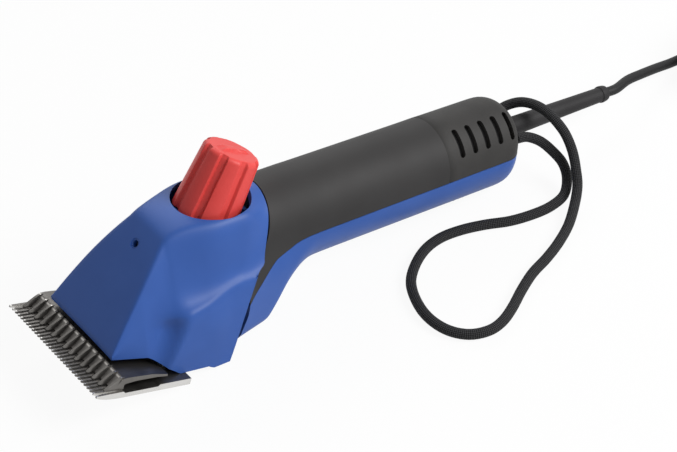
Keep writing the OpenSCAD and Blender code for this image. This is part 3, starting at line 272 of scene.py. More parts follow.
def shade(mesh, angle):
    """Smooth shading with sharp edges where faces meet at more than an angle."""
    mesh.polygons.foreach_set("use_smooth", [True] * len(mesh.polygons))
    mesh.set_sharp_from_angle(angle=math.radians(angle))


def mesh_from(built, name, angle=None, outward=True):
    """Ends the work on a bmesh: turns its faces outward, makes a mesh of it and shades that."""
    if outward:
        bmesh.ops.recalc_face_normals(built, faces=built.faces)
    mesh = bpy.data.meshes.new(name)
    built.to_mesh(mesh)
    built.free()
    if angle:
        shade(mesh, angle)
    return mesh


def smooth_route(points, between=4):
    """Curve through every point, with points added between them."""
    points = np.asarray(points, float)
    ends = np.vstack([2 * points[0] - points[1], points, 2 * points[-1] - points[-2]])
    out = []
    for i in range(len(points) - 1):
        a, b, c, d = ends[i:i + 4]
        for k in range(between):
            t = k / between
            out.append(0.5 * (2 * b + (c - a) * t + (2 * a - 5 * b + 4 * c - d) * t ** 2
                              + (3 * b - a - 3 * c + d) * t ** 3))
    out.append(points[-1])
    return np.array(out)


def route_length(points):
    return float(np.linalg.norm(np.diff(points, axis=0), axis=1).sum())


def tube_mesh(name, route, radius, sides, turns_per_mm):
    """Closed tube along a route in millimetres, with coordinates along and round it."""
    route = np.asarray(route, float)
    steps = np.gradient(route, axis=0)
    steps /= np.linalg.norm(steps, axis=1)[:, None]
    side = np.cross(steps[0], (0, 0, 1))
    reach = np.concatenate([[0], np.cumsum(np.linalg.norm(np.diff(route, axis=0), axis=1))])
    angles = [2 * math.pi * k / sides for k in range(sides)]
    built = bmesh.new()
    rings = []
    for at, step in zip(route, steps):
        side = side - step * side.dot(step)
        side /= np.linalg.norm(side)
        other = np.cross(step, side)
        rings.append([built.verts.new((at + radius * (side * math.cos(a) + other * math.sin(a))) * MM)
                      for a in angles])
    layer = built.loops.layers.uv.new("along_and_round")
    for i in range(len(rings) - 1):
        for k in range(sides):
            n = (k + 1) % sides
            face = built.faces.new((rings[i][k], rings[i][n], rings[i + 1][n], rings[i + 1][k]))
            for loop, (row, turn) in zip(face.loops, ((i, k), (i, k + 1), (i + 1, k + 1), (i + 1, k))):
                loop[layer].uv = (reach[row] * turns_per_mm, turn / sides)
    built.faces.new(rings[0])
    built.faces.new(rings[-1])
    return mesh_from(built, name, angle=50)


print("route helper:", round(route_length(smooth_route([(0, 0, 0), (10, 0, 0), (20, 0, 0)])), 2), "mm")

# %% Wrist loop
LOOP_R, LOOP_SIDES = 2.6, 20
HOLE_Y, HOLE_Z = 11.5, 1.5


def at_hole(side):
    return to_row([HANDLE_LEN, side * HOLE_Y, HOLE_Z])


LOOP_DOWN = [(103, -12.5, 25.5), (109, -16, 22), (113, -21, 17), (115, -27, 12), (113, -33, 7),
             (106, -39, 3.6)]
LOOP_LYING = [(96, -41), (85, -40.5), (72, -37.5), (60, -32), (48, -28), (36, -26.5), (24, -29), (12, -36),
              (3, -45), (-3, -58), (-5, -70), (-3, -81), (3, -89), (12, -92.5), (21, -91.5), (31, -87),
              (43, -80), (55, -74), (67, -70), (79, -65)]
LOOP_UP = [(92, -58, 3), (103, -50, 5), (111, -43, 9), (115, -37, 14), (117.5, -31, 20.5), (117.5, -25, 28),
           (116.5, -18, 33), (116, -10, 35), (115, -2, 34.5), (113, 5, 32.5), (109, 10, 29.5),
           (103, 11.5, 27.4)]
loop_free = LOOP_DOWN + [(x, y, LOOP_R) for x, y in LOOP_LYING] + LOOP_UP
loop_route = smooth_route([at_hole(-1), *loop_free, at_hole(1)], between=5)
LOOP_BRAID = 1 / (2 * math.pi * LOOP_R)
loop_tube = tube_mesh("wrist_strap", loop_route, LOOP_R, LOOP_SIDES, LOOP_BRAID)
wrist_strap = piece_of(loop_tube)
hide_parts("wrist_loop")

# %% [markdown]
# The mains lead leaves the boot, comes down to the table and runs out of the picture. The rest of its length
# lies just past the edge, wound into a round coil of four layers with a strap round it and the plug beside
# it. It is the same kind of tube as the loop, with a plain sheath in place of the braid.

# %% Mains lead
CORD_R = 2.6
COIL_TURNS, COIL_LAYERS, COIL_LIFT, COIL_SPACE = 3, 4, 1, 0.5
COIL_CENTRE = np.array([266, -31])
coil_step = 2 * CORD_R + COIL_SPACE
coil_in_r = 8 * CORD_R
coil_run = COIL_TURNS + 0.5
coil_end = coil_run * COIL_LAYERS


def coil_at(t):
    """Point of the coil after t turns: it winds in and out again, and climbs a layer where it turns back."""
    radius = coil_in_r + coil_step * abs(t - coil_run - 2 * coil_run * math.floor(t / (2 * coil_run)))
    climb = sum(min(1, max(0, 2 * (t - k * coil_run) + 0.5)) for k in range(1, COIL_LAYERS))
    angle = 2 * math.pi * t
    return np.array([COIL_CENTRE[0] + radius * math.sin(angle), COIL_CENTRE[1] + radius * math.cos(angle),
                     COIL_LIFT + CORD_R + coil_step * climb])


boot_tip = to_row([HANDLE_LEN + BOOT_LEN, 0, 0])
boot_aim = to_row([HANDLE_LEN + BOOT_LEN + 1, 0, 0]) - boot_tip
along = np.array([2 * CORD_R, 0, 0])
PLUG_AT = np.array([319, -55, 7.5])
lead_out = [boot_tip, boot_tip + 8 * boot_aim, (188, 4, 13.5), (200, 6, 11), (213, 8, 8), (225, 9, 5.6),
            (238, 9.8, 4.2), coil_at(0) - 2.5 * along, coil_at(0) - along]
COIL_RINGS = 36
lead_wound = [coil_at(i / COIL_RINGS) for i in range(int(coil_end * COIL_RINGS) + 1)]
lead_home = [coil_at(coil_end) + along, (281, 9, 20.5), (292, 5.5, 19.6), (303, -2, 17.6), (311, -12, 14.8),
             (316, -23, 12), (318.5, -34, 9.4), (319, -44, 7.8), PLUG_AT + (0, 2 * CORD_R, 0), PLUG_AT]
lead_route = np.vstack([smooth_route(lead_out), lead_wound, smooth_route(lead_home)])

SHEATH_SIDES = 18
lead_tube = tube_mesh("mains_lead", lead_route, CORD_R, SHEATH_SIDES, 1 / CORD_R)
mains_lead = piece_of(lead_tube)
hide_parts("mains_cord", "cord_coil", "plug_lead")

# %% [markdown]
# ## Light and floor
# The clipper stands on a plain white floor. A large soft box to the right of the camera lights the flank and
# leaves the sloping front face darker, a second one behind draws a line along the crown, and an even world
# fills the rest. What the eye sees of the room is white, and so is what the steel mirrors, but the light
# that the room sheds on the clipper is dimmer: Light Path tells those rays apart. The floor mixes a white
# glow with a real pale surface, so that a little of the soft shadow is left.

# %% Stage


def soft_box(name, at, aim, size, power):
    lamp = bpy.data.lights.new(name, "AREA")
    lamp.shape = "RECTANGLE"
    lamp.size, lamp.size_y = size
    lamp.energy = power
    box = bpy.data.objects.new(name, lamp)
    box.location = at
    box.rotation_euler = (Vector(aim) - Vector(at)).to_track_quat("-Z", "Y").to_euler()
    scene.collection.objects.link(box)


def looked_at(tree):
    """One for the rays that look at the room: straight, in a mirror or through glass."""
    ray = tree.nodes.new("ShaderNodeLightPath")
    kinds = [Wire(tree, ray.outputs[f"Is {kind} Ray"]) for kind in ("Camera", "Glossy", "Transmission")]
    return (kinds[0] + kinds[1] + kinds[2]).at_most(1.0)


soft_box("key_light", at=(0.75, -0.95, 1.05), aim=(-0.02, 0, 0.03), size=(0.9, 0.7), power=26)
soft_box("back_light", at=(0.5, 1.2, 1.0), aim=(0, 0, 0.03), size=(1.2, 0.5), power=8)

world = bpy.data.worlds.new("white_room")
scene.world = world
world.use_nodes = True
room = world.node_tree
ROOM_LIGHT = 0.28
shown = ROOM_LIGHT + (1 - ROOM_LIGHT) * looked_at(room)
room.links.new(shown.socket, room.nodes["Background"].inputs["Strength"])
room.nodes["Background"].inputs["Color"].default_value = (1, 1, 1, 1)
scene.view_settings.view_transform = "Standard"

floor_mesh = bpy.data.meshes.new("floor")
FLOOR_SIZE, FLOOR_Z = 6, -0.0004
floor_corners = [(x * FLOOR_SIZE, y * FLOOR_SIZE, FLOOR_Z) for x, y in ((-1, -1), (1, -1), (1, 1), (-1, 1))]
floor_mesh.from_pydata(floor_corners, [], [(0, 1, 2, 3)])
floor = bpy.data.objects.new("floor", floor_mesh)
scene.collection.objects.link(floor)
sweep = Finish("white_sweep", {"Roughness": 0.9, "Base Color": (0.8, 0.8, 0.8, 1)})
GLOW_SHARE = 0.93
glow = sweep.add("ShaderNodeEmission", {}, {"Color": (1, 1, 1, 1), "Strength": 1.0})
surface = Wire(sweep.tree, sweep.shader.outputs[0])
swept = sweep.add("ShaderNodeMixShader", {}, {0: GLOW_SHARE * looked_at(sweep.tree), 1: surface, 2: glow})
sweep.tree.links.new(swept.socket, sweep.tree.nodes["Material Output"].inputs["Surface"])
floor_mesh.materials.append(sweep.material)

# %% [markdown]
# ## Finishes
# The shells are moulded in coloured plastic with a fine spark texture, so their colour hardly changes but the
# gloss breaks up. The blades are steel: dark and streaked along the grinding direction, with painted
# highlights on their ends and across the top of the teeth. The rubber of the lead and boot is darker than the
# grip.

# %% Moulded plastics


def dress(piece, finish):
    piece.data.materials.clear()
    piece.data.materials.append(finish.material)


CLOUD_SCALE, CLOUD_REACH, CLOUD_SHARE = 45, (0.3, 0.75), 0.6
GRAIN_ROUGH, CLOUD_ROUGH = 0.1, 0.06


def moulded(name, chip, shade_chip, roughness, grain, grain_depth, gloss=0.3):
    """Plastic with a fine moulded grain; grain is the size of its cells in millimetres."""
    finish = Finish(name, {"Specular IOR Level": gloss})
    cloud = finish.noise(CLOUD_SCALE, 2.0)
    cells = finish.noise(1 / (grain * MM), 2.0)
    shaded = cloud.between(*CLOUD_REACH) * CLOUD_SHARE
    finish.feed("Base Color", finish.tint(shaded, paint(*chip), paint(*shade_chip)))
    finish.feed("Roughness", roughness + GRAIN_ROUGH * (cells - 0.5) + CLOUD_ROUGH * (cloud - 0.5))
    return finish.bump(cells, grain_depth)


royal_blue = moulded("royal_blue_shell", (47, 85, 158), (42, 78, 148), 0.46, 0.5, 1.2e-5)
charcoal = moulded("charcoal_grip", (48, 47, 47), (43, 42, 42), 0.6, 0.5, 1.2e-5, 0.22)
cap_grey = moulded("grained_cap", (52, 51, 50), (35, 34, 34), 0.62, 0.8, 8e-5, 0.22)
knob_red = moulded("signal_red_knob", (214, 70, 66), (202, 58, 55), 0.46, 0.5, 1.2e-5)
boot_rubber = moulded("boot_rubber", (38, 37, 38), (31, 30, 31), 0.6, 0.6, 2e-5, 0.22)
sheath = moulded("lead_sheath", (30, 30, 31), (24, 24, 25), 0.55, 0.8, 2e-5, 0.22)
black_plastic = moulded("black_moulding", (32, 32, 33), (24, 24, 25), 0.45, 0.6, 2e-5)
ivory_nylon = moulded("ivory_nylon", (228, 220, 198), (214, 204, 180), 0.4, 0.6, 1e-5)
brown_resin = moulded("brown_resin", (96, 58, 36), (80, 46, 28), 0.5, 0.6, 2e-5)
film_yellow = moulded("film_yellow", (214, 178, 64), (200, 160, 50), 0.35, 0.6, 1e-5)
mount_rubber = moulded("mount_rubber", (40, 40, 41), (30, 30, 31), 0.7, 0.8, 3e-5)
print("plastics ready")

# %% Metals
STREAKS, STREAK_DEPTH, STREAK_ROUGH = 900, 4e-6, 0.16
DULL_SCALE, DULL_REACH, DULL_ROUGH = 60, (0.35, 0.7), 0.12


def metal(name, colour, worn_colour, roughness, streak=(1, 1, 1)):
    """Metal with streaks; streak stretches them along one axis of the row frame."""
    finish = Finish(name, {"Metallic": 1.0})
    cloud = finish.noise(DULL_SCALE, 3.0)
    lines = finish.noise(STREAKS, 3.0, streak)
    finish.feed("Base Color", finish.tint(cloud.between(*DULL_REACH), colour, worn_colour))
    finish.feed("Roughness", roughness + STREAK_ROUGH * (lines - 0.5) + DULL_ROUGH * (cloud - 0.5))
    return finish.bump(lines, STREAK_DEPTH)


bright_steel = metal("bright_steel", (0.6, 0.6, 0.6), (0.52, 0.52, 0.53), 0.25)
forged_steel = metal("forged_steel", (0.3, 0.3, 0.31), (0.22, 0.22, 0.23), 0.45)
cast_zinc = metal("cast_zinc", (0.42, 0.43, 0.44), (0.34, 0.35, 0.36), 0.5)
laminated_iron = metal("laminated_iron", (0.24, 0.24, 0.26), (0.16, 0.16, 0.18), 0.45, (40, 1, 1))
brass = metal("brass", (0.72, 0.52, 0.22), (0.62, 0.42, 0.17), 0.3)
copper = metal("enamelled_copper", (0.62, 0.25, 0.12), (0.5, 0.18, 0.08), 0.35, (1, 8, 8))
nickel = metal("nickel_plate", (0.66, 0.63, 0.58), (0.6, 0.57, 0.52), 0.22)
carbon = moulded("brush_carbon", (38, 37, 37), (26, 25, 25), 0.5, 0.4, 1e-5)
filter_foam = moulded("filter_foam", (36, 36, 37), (18, 18, 19), 0.9, 1.6, 4e-4)
print("metals ready")

# %% [markdown]
# Two finishes need a place on their piece. The braid of the loop crosses two sets of strands that wind round
# the tube in opposite directions, so it is drawn from the coordinates along and round it. The blades are dark
# steel, made bright by grinding on the sole, with painted highlights on their ends and on a strip across the
# top of the teeth where it faces up.

# %% Braid and ground steel
STRANDS, STRAND_REACH, FUZZ_SCALE, FUZZ_LIFT = 9, (-0.7, 0.8), 2500, 0.2
# Painted highlights fall on the blades' ends and on a strip across the top of the teeth where it faces up;
# the bright sole is from grinding
END_FACING, END_STRIP, SOLE_FACING = (0.75, 0.97), (33.6, 34.4), (0.6, 0.95)
HIGHLIGHT_FACING, HIGHLIGHT_FADE = (0.3, 0.8), 0.8
GRIND, GRIND_DEPTH, MOTTLE_SCALE = (0.15, 6, 0.15), 6e-6, 90
tips_x, tips_z = from_blade(0, 0)
BLADE_TIPS = to_row([tips_x, 0, tips_z])


def blade_axis(u, w):
    along_x, along_z = from_blade(u, w) - from_blade(0, 0)
    return to_row([along_x, 0, along_z]) - to_row([0, 0, 0])


BLADE_BACK, BLADE_UP = blade_axis(1, 0), blade_axis(0, 1)


def braided(name, colour, shade_colour, depth):
    finish = Finish(name, {"Specular IOR Level": 0.25})
    woven = finish.add("ShaderNodeUVMap", {"uv_map": "along_and_round"})
    length, turn = finish.axis(0, woven), finish.axis(1, woven)
    wave = 2 * math.pi * STRANDS
    one_way = ((length + turn) * wave).sine()
    other_way = ((length - turn) * wave).sine()
    strand = (one_way * other_way).between(*STRAND_REACH)
    fuzz = finish.noise(FUZZ_SCALE, 2.0)
    finish.feed("Base Color", finish.tint(strand * (0.6 + 0.6 * fuzz), shade_colour, colour))
    finish.feed("Roughness", 0.85 - 0.2 * strand)
    return finish.bump(strand + FUZZ_LIFT * fuzz, depth)


def ground_and_highlit_steel(name, dark, bright, end_share, highlight_from, highlight_to):
    """Dark steel, made bright by grinding on its sole, with painted highlights on its ends and on a strip
    between two places behind the tips where it faces up.
    """
    finish = Finish(name, {"Metallic": 1.0})
    behind = finish.along(BLADE_BACK, BLADE_TIPS)
    up = finish.facing(tuple(BLADE_UP))
    ends = finish.facing((0, 1, 0)).size().between(*END_FACING)
    end_strip = finish.along((0, 1, 0)).size().between(*END_STRIP)
    sole = (0 - up).between(*SOLE_FACING)
    begun = behind.between(highlight_from, highlight_from + HIGHLIGHT_FADE)
    highlight_strip = begun * (1 - behind.between(highlight_to - HIGHLIGHT_FADE, highlight_to))
    streaks = finish.noise(STREAKS, 3.0, GRIND)
    cloud = finish.noise(MOTTLE_SCALE, 3.0)
    # Painted highlights on the ends and on the strip that faces up, joined with the bright sole from grinding
    ground_and_highlights = (ends * end_strip * end_share).at_least(sole).at_least(highlight_strip * up.between(*HIGHLIGHT_FACING))
    tone = (ground_and_highlights * 0.95 + 0.3 * streaks * cloud).at_most(1.0)
    finish.feed("Base Color", finish.tint(tone, dark, bright))
    finish.feed("Roughness", 0.42 - 0.14 * ground_and_highlights + 0.2 * (streaks - 0.5) + 0.1 * (cloud - 0.5))
    return finish.bump(streaks, GRIND_DEPTH)


braid_black = braided("braided_loop", paint(58, 58, 60), paint(9, 9, 10), 4e-4)
# The last three numbers set the painted highlights: how bright the ends are, and where the strip behind the
# tips starts and ends
comb_steel = ground_and_highlit_steel("comb_steel", (0.1, 0.094, 0.088), (0.72, 0.71, 0.69), 0.9, -0.6, 1.2)
cutter_steel = ground_and_highlit_steel("cutter_steel", (0.075, 0.071, 0.067), (0.6, 0.58, 0.55), 0.12, 13.1, 14.2)
print("blade axes:", BLADE_BACK.round(3), BLADE_UP.round(3))

# %% [markdown]
# ## Smooth shells from the drawing
# The solids carry the shells with few flat faces. Here section curves like theirs are sampled more finely and
# relaxed a little, which rounds the moulded creases the way a real tool does. Each shell is an outer and an
# inner grid of points, closed along its edges, so the wall shows its thickness at every opening.

# %% Curves


def mix(a, b, t):
    return a + (b - a) * t


def ease(low, high, x):
    t = min(1.0, max(0.0, (x - low) / (high - low)))
    return t * t * (3 - 2 * t)


def bend2(a, b, c, t):
    return mix(mix(a, b, t), mix(b, c, t), t)


def bend3(a, b, c, d, t):
    return mix(bend2(a, b, c, t), bend2(b, c, d, t), t)


def pair(y, z):
    return np.array([y, z], float)


def table(x, places):
    """Value at x on straight lines between places."""
    return float(np.interp(x, [p[0] for p in places], [p[1] for p in places]))


def full_line(half, upper):
    """A half section and its mirror image as one line; an upper half starts at the middle of the top."""
    half = np.array(half)
    if upper:
        return np.concatenate([half[:0:-1] * (-1, 1), half])
    return np.concatenate([half * (-1, 1), half[-2::-1]])


def relax(grid, times):
    """Evens out a grid of points, borders kept; creases become soft rounds."""
    grid = np.array(grid, float)
    for _ in range(times):
        inner = grid[1:-1, 1:-1]
        around = (grid[:-2, 1:-1] + grid[2:, 1:-1] + grid[1:-1, :-2] + grid[1:-1, 2:]) / 4
        grid[1:-1, 1:-1] = mix(inner, around, 0.5)
    return grid


print("half way along a bend:", bend3(0, 0, 1, 1, 0.5))

# %% Shells and cutters


def shell_mesh(name, outer, inner):
    """Closed shell between an outer and an inner grid of points in the handle's frame."""
    rows, cols = outer.shape[:2]
    points = np.concatenate([to_row(outer).reshape(-1, 3), to_row(inner).reshape(-1, 3)]) * MM
    far = rows * cols

    def at(i, j, side=0):
        return side * far + i * cols + j

    faces = []
    for side in (0, 1):
        faces += [(at(i, j, side), at(i, j + 1, side), at(i + 1, j + 1, side), at(i + 1, j, side))
                  for i in range(rows - 1) for j in range(cols - 1)]
    for j in (0, cols - 1):
        faces += [(at(i, j), at(i + 1, j), at(i + 1, j, 1), at(i, j, 1)) for i in range(rows - 1)]
    for i in (0, rows - 1):
        faces += [(at(i, j), at(i, j + 1), at(i, j + 1, 1), at(i, j, 1)) for j in range(cols - 1)]
    rough = bpy.data.meshes.new(name)
    rough.from_pydata(points.tolist(), [], faces)
    built = bmesh.new()
    built.from_mesh(rough)
    bpy.data.meshes.remove(rough)
    return mesh_from(built, name)


def cut(piece, cutters):
    """Takes the cutters' solids out of a piece and keeps its new mesh."""
    for cutter in cutters:
        change = piece.modifiers.new("cut", "BOOLEAN")
        change.operation, change.solver, change.object = "DIFFERENCE", "EXACT", cutter
    view = bpy.context.evaluated_depsgraph_get()
    mesh = bpy.data.meshes.new_from_object(piece.evaluated_get(view))
    piece.modifiers.clear()
    piece.data = mesh
    for cutter in cutters:
        bpy.data.objects.remove(cutter)


def drill(radius, start, end, sides=72):
    """Round cutter between two points of the handle's frame, in millimetres."""
    a, b = (Vector(to_row(p) * MM) for p in (start, end))
    built = bmesh.new()
    turn = (b - a).to_track_quat("Z", "Y").to_matrix().to_4x4()
    bmesh.ops.create_cone(built, cap_ends=True, segments=sides, radius1=radius * MM, radius2=radius * MM,
                          depth=(b - a).length, matrix=Matrix.Translation((a + b) / 2) @ turn)
    return piece_of(mesh_from(built, "drill", outward=False), body=None)


def block_cutter(low, high):
    """Box cutter between two corners in the handle's frame, in millimetres."""
    corners = [(x, y, z) for x in (low[0], high[0]) for y in (low[1], high[1]) for z in (low[2], high[2])]
    built = bmesh.new()
    bmesh.ops.convex_hull(built, input=[built.verts.new(to_row(c) * MM) for c in corners])
    return piece_of(mesh_from(built, "window", outward=False), body=None)


print("shell and cutter tools ready")

# %% Turned meshes and stand-ins


def bridge(built, low, high):
    """Faces between two rings of vertices."""
    for k in range(len(low)):
        built.faces.new((low[k - 1], low[k], high[k], high[k - 1]))


def turned_mesh(name, rings):
    """Closed mesh through rings of points in the handle's frame."""
    built = bmesh.new()
    made = [[built.verts.new(at) for at in to_row(ring) * MM] for ring in rings]
    for low, high in zip(made, made[1:]):
        bridge(built, low, high)
    built.faces.new(made[0])
    built.faces.new(made[-1])
    return mesh_from(built, name, SHARP)


def joined(name, meshes):
    built = bmesh.new()
    for mesh in meshes:
        built.from_mesh(mesh)
        bpy.data.meshes.remove(mesh)
    return mesh_from(built, name, angle=30, outward=False)


def stand_in(piece, finish, node):
    """Dresses a piece and shows it in place of a node of the solids."""
    dress(piece, finish)
    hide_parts(node)
    print(piece.name, "has", len(piece.data.polygons), "faces")


print("turning tools ready")

# %% [markdown]
# ## The head
# The head is one blue moulding: a slightly bowed front face that slopes down to the lip, a crown with a round
# recess for the knob, and two skirts over the ends of the comb. Its half sections run from the middle of the
# top to the lower edge. Behind the crest the sections lean with the joint to the handle.

# %% Head outline
HANDLE_R, REAR_R = 21.4, 20.6
LIP = from_blade(13, 11.2)
LIP_W, LIP_T, CREST_W = 51, 2.4, 26
FACE_SLOPE, FACE_LEN = math.radians(51.5), 54.2
CREST = LIP + FACE_LEN * pair(math.cos(FACE_SLOPE), math.sin(FACE_SLOPE))
JOINT_TOP = pair(0, HANDLE_R)
FACE_BOW, FACE_SWELL = 1.2, 1
FACE_RUN = CREST[0] - LIP[0]
CROWN_FALL = math.tan(math.radians(5))
crest_slope = math.tan(FACE_SLOPE) - 4 * FACE_BOW / math.cos(FACE_SLOPE) / FACE_RUN
crown_x = (HANDLE_R - CREST[1] + CREST[0] * crest_slope) / (crest_slope + CROWN_FALL)
CROWN = pair(crown_x, HANDLE_R - crown_x * CROWN_FALL)
KNOB_SET = 27.7
CROWN_FADE_X = -0.65 * KNOB_SET
SHOULDER_OUT, SHOULDER_FALL, SHOULDER_Z, SIDE_Z = (3.5, 2.5), 0.6, HANDLE_R - 0.4, 10
SIDE_OUT, WAIST_IN, WAIST_UP, EDGE_DROP, THIN_X = 0.8, 0.6, 2.5, 0.4, -40
SKIRT_Y, RIDGE_W, HEAD_WALL = 33.5, 59, 2.6
SKIRT_FRONT = from_blade(SKIRT_SET, SKIRT_FOOT)
JOINT_TILT = math.tan(math.radians(21))
RIDGE_Z, RIDGE_REAR_X, RIDGE_DROP = -7.5, -16.5, 6
NECK = pair(-(HANDLE_R + 5) * JOINT_TILT, -5)
FLANK_MID, FLANK_END = from_blade(32, 8.5), from_blade(44.5, 2.5)
SHEAR_X = -44
SIDE_BOW = [(0.2, 0.9), (0.45, 0.9), (0.62, 0.54)]
TURN_X = [(CREST[0] - 3, -38), (CREST[0] - 24, -36), (-74, -53), (-74, -53)]
FLAT_STEPS, BEND_STEPS, HEAD_RELAX = 9, 24, 3
FACE_ROWS, CREST_ROWS, LEAN_ROWS = 44, 21, 27


def face_part(x):
    return min(1, (x - LIP[0]) / FACE_RUN)


def swell(x):
    return 4 * face_part(x) * (1 - face_part(x))


def face_edge_y(x):
    return mix(LIP_W, CREST_W, face_part(x)) / 2 + FACE_SWELL * swell(x)


def crown_share(x):
    """One up to a place behind the knob's axis, then falling to nothing at the joint."""
    return 1 - ease(CROWN_FADE_X, 0, x)


def shoulder(x):
    """Full beside the knob, nothing at the crest and at the joint."""
    return ease(CREST[0], -KNOB_SET, x) * crown_share(x)


def head_top(x):
    """Height of the middle of the top: the front face, then one curve over the crown."""
    if x <= CREST[0]:
        return LIP[1] + (x - LIP[0]) * math.tan(FACE_SLOPE) + FACE_BOW / math.cos(FACE_SLOPE) * swell(x)
    a = CREST[0] - 2 * CROWN[0] + JOINT_TOP[0]
    b = 2 * (CROWN[0] - CREST[0])
    t = (-b + math.sqrt(max(0, b * b - 4 * a * (CREST[0] - x)))) / (2 * a)
    return bend2(CREST, CROWN, JOINT_TOP, min(1, t))[1]


def head_low(x):
    return table(x, [(LIP[0], LIP[1] - LIP_T), FLANK_MID, FLANK_END, SKIRT_FRONT, SKIRT_CORNER])


def head_low_y(x):
    return table(x, [(LIP[0], LIP_W / 2 + 0.3), (FLANK_MID[0], SKIRT_Y - 5.2), (FLANK_END[0], SKIRT_Y - 5),
                     (SKIRT_FRONT[0] - 1, SKIRT_Y - 4.4), (SKIRT_FRONT[0] + 3.5, SKIRT_Y)])


def joint_x(z):
    """Where the head ends against the handle at a height."""
    if z > NECK[1]:
        return -(HANDLE_R - z) * JOINT_TILT
    if z > RIDGE_Z:
        return mix(NECK[0], RIDGE_REAR_X, (NECK[1] - z) / (NECK[1] - RIDGE_Z))
    return mix(RIDGE_REAR_X, SKIRT_CORNER[0], (RIDGE_Z - z) / (RIDGE_Z - SKIRT_CORNER[1]))


print("crest:", CREST.round(1), "crown:", CROWN.round(1), "neck:", NECK.round(1))

# %% Head sections


def head_half(x, q, wall):
    """Half section at x, from the middle of the top to the lower edge; q is how far it leans to the joint."""
    steep = wall / math.cos(FACE_SLOPE)
    thick = steep if x < CREST[0] else mix(steep, wall, ease(CREST[0], THIN_X, x))
    top = head_top(x) - min(thick, LIP_T * 0.8 + (x - LIP[0]))
    full = shoulder(x)
    face_y = face_edge_y(x) + SHOULDER_OUT[0] * full - wall * 0.6
    low_x = mix(x, joint_x(SKIRT_CORNER[1]), q)
    low = pair(head_low_y(low_x) - wall, head_low(low_x))
    turns = [ease(*reach, x) for reach in TURN_X]
    edge = pair(face_y, top - EDGE_DROP)
    front = [edge, *(mix(edge, low, share) + pair(bow, 0) for share, bow in SIDE_BOW)]
    ridge_y = mix(RIDGE_W / 2, SKIRT_Y - 1, ease(RIDGE_REAR_X, SKIRT_FRONT[0] + 6, x))
    ahead = (RIDGE_REAR_X - x) / (RIDGE_REAR_X - SKIRT_FRONT[0])
    ridge_z = RIDGE_Z - RIDGE_DROP * min(1, max(0, ahead))
    round_z = math.sqrt(HANDLE_R ** 2 - (CREST_W / 2) ** 2) + head_top(x) - HANDLE_R
    rear = [pair(face_y, mix(round_z, head_top(x) - SHOULDER_FALL, crown_share(x)) - wall),
            pair(HANDLE_R + SIDE_OUT + SHOULDER_OUT[1] * full - wall, mix(SIDE_Z, SHOULDER_Z, full)),
            pair(HANDLE_R - WAIST_IN - wall, ridge_z + WAIST_UP), pair(ridge_y - wall, ridge_z - wall * 0.3)]
    c, p1, p2, r = (mix(f, b, turn) for f, b, turn in zip(front, rear, turns))
    flat = [pair(face_y * i / FLAT_STEPS, mix(top, c[1], (i / FLAT_STEPS) ** 2)) for i in range(FLAT_STEPS)]
    side = [bend3(c, p1, p2, r, i / BEND_STEPS) for i in range(BEND_STEPS + 1)]
    return np.array(flat + side + [mix(r, low, i / FLAT_STEPS) for i in range(1, FLAT_STEPS + 1)])


def head_line(x, q, wall):
    full = full_line(head_half(mix(SHEAR_X, 0, q) if q > 0 else x, q, wall), upper=True)
    along_x = [mix(SHEAR_X, joint_x(z), q) if q > 0 else x for z in full[:, 1]]
    return np.column_stack([along_x, full])


def head_grid(wall):
    ahead = [*np.linspace(LIP[0], CREST[0], FACE_ROWS), *np.linspace(CREST[0], SHEAR_X, CREST_ROWS)[1:]]
    leaning = np.linspace(0, 1, LEAN_ROWS)[1:]
    return np.array([head_line(x, 0, wall) for x in ahead] + [head_line(0, q, wall) for q in leaning])


print("points in a section:", len(head_line(LIP[0], 0, 0)))

# %% Skirt panel
CREASE_X, CREASE_Z, CREASE_LEAN = -53.5, -13, 0.51
FACET, PANEL_TOP, PANEL_FADE, FLANK_BOW = 10, (-22, -12), (-45, -22), 0.8
PANEL_START, PANEL_LEAN = (LIP[0] + 4, LIP[0] + 14), (-38, -10)


def flank_y(x, z):
    """Half width of the plain flank, which bows a little from the front face's edge to the lower edge."""
    x = min(x, CREST[0])
    share = (head_top(x) - z) / (head_top(x) - head_low(x))
    return mix(face_edge_y(x), head_low_y(x), share) + FLANK_BOW * 4 * share * (1 - share)


def with_panel(grid, wall):
    """Lifts the skirt into a panel that starts at a slanted crease, with a plain facet in front of it."""
    grid = grid.copy()
    for point in grid.reshape(-1, 3):
        x, y, z = point
        past = x - CREASE_X - CREASE_LEAN * (z - CREASE_Z)
        facet = min(1.0, max(0.0, past / FACET + 1)) ** 2
        share = (1 - ease(*PANEL_TOP, z)) * (1 - ease(*PANEL_FADE, x)) * ease(*PANEL_START, x)
        panel = mix(SKIRT_Y, SKIRT_Y - 1, ease(*PANEL_LEAN, z))
        wide = mix(flank_y(x, z), panel, facet) - wall
        if abs(y) > CREST_W / 2:
            point[1] = math.copysign(mix(abs(y), wide, share), y)
    return grid


head_outer, head_inner = (with_panel(relax(head_grid(wall), HEAD_RELAX), wall) for wall in (0, HEAD_WALL))
print("head grid:", head_outer.shape)

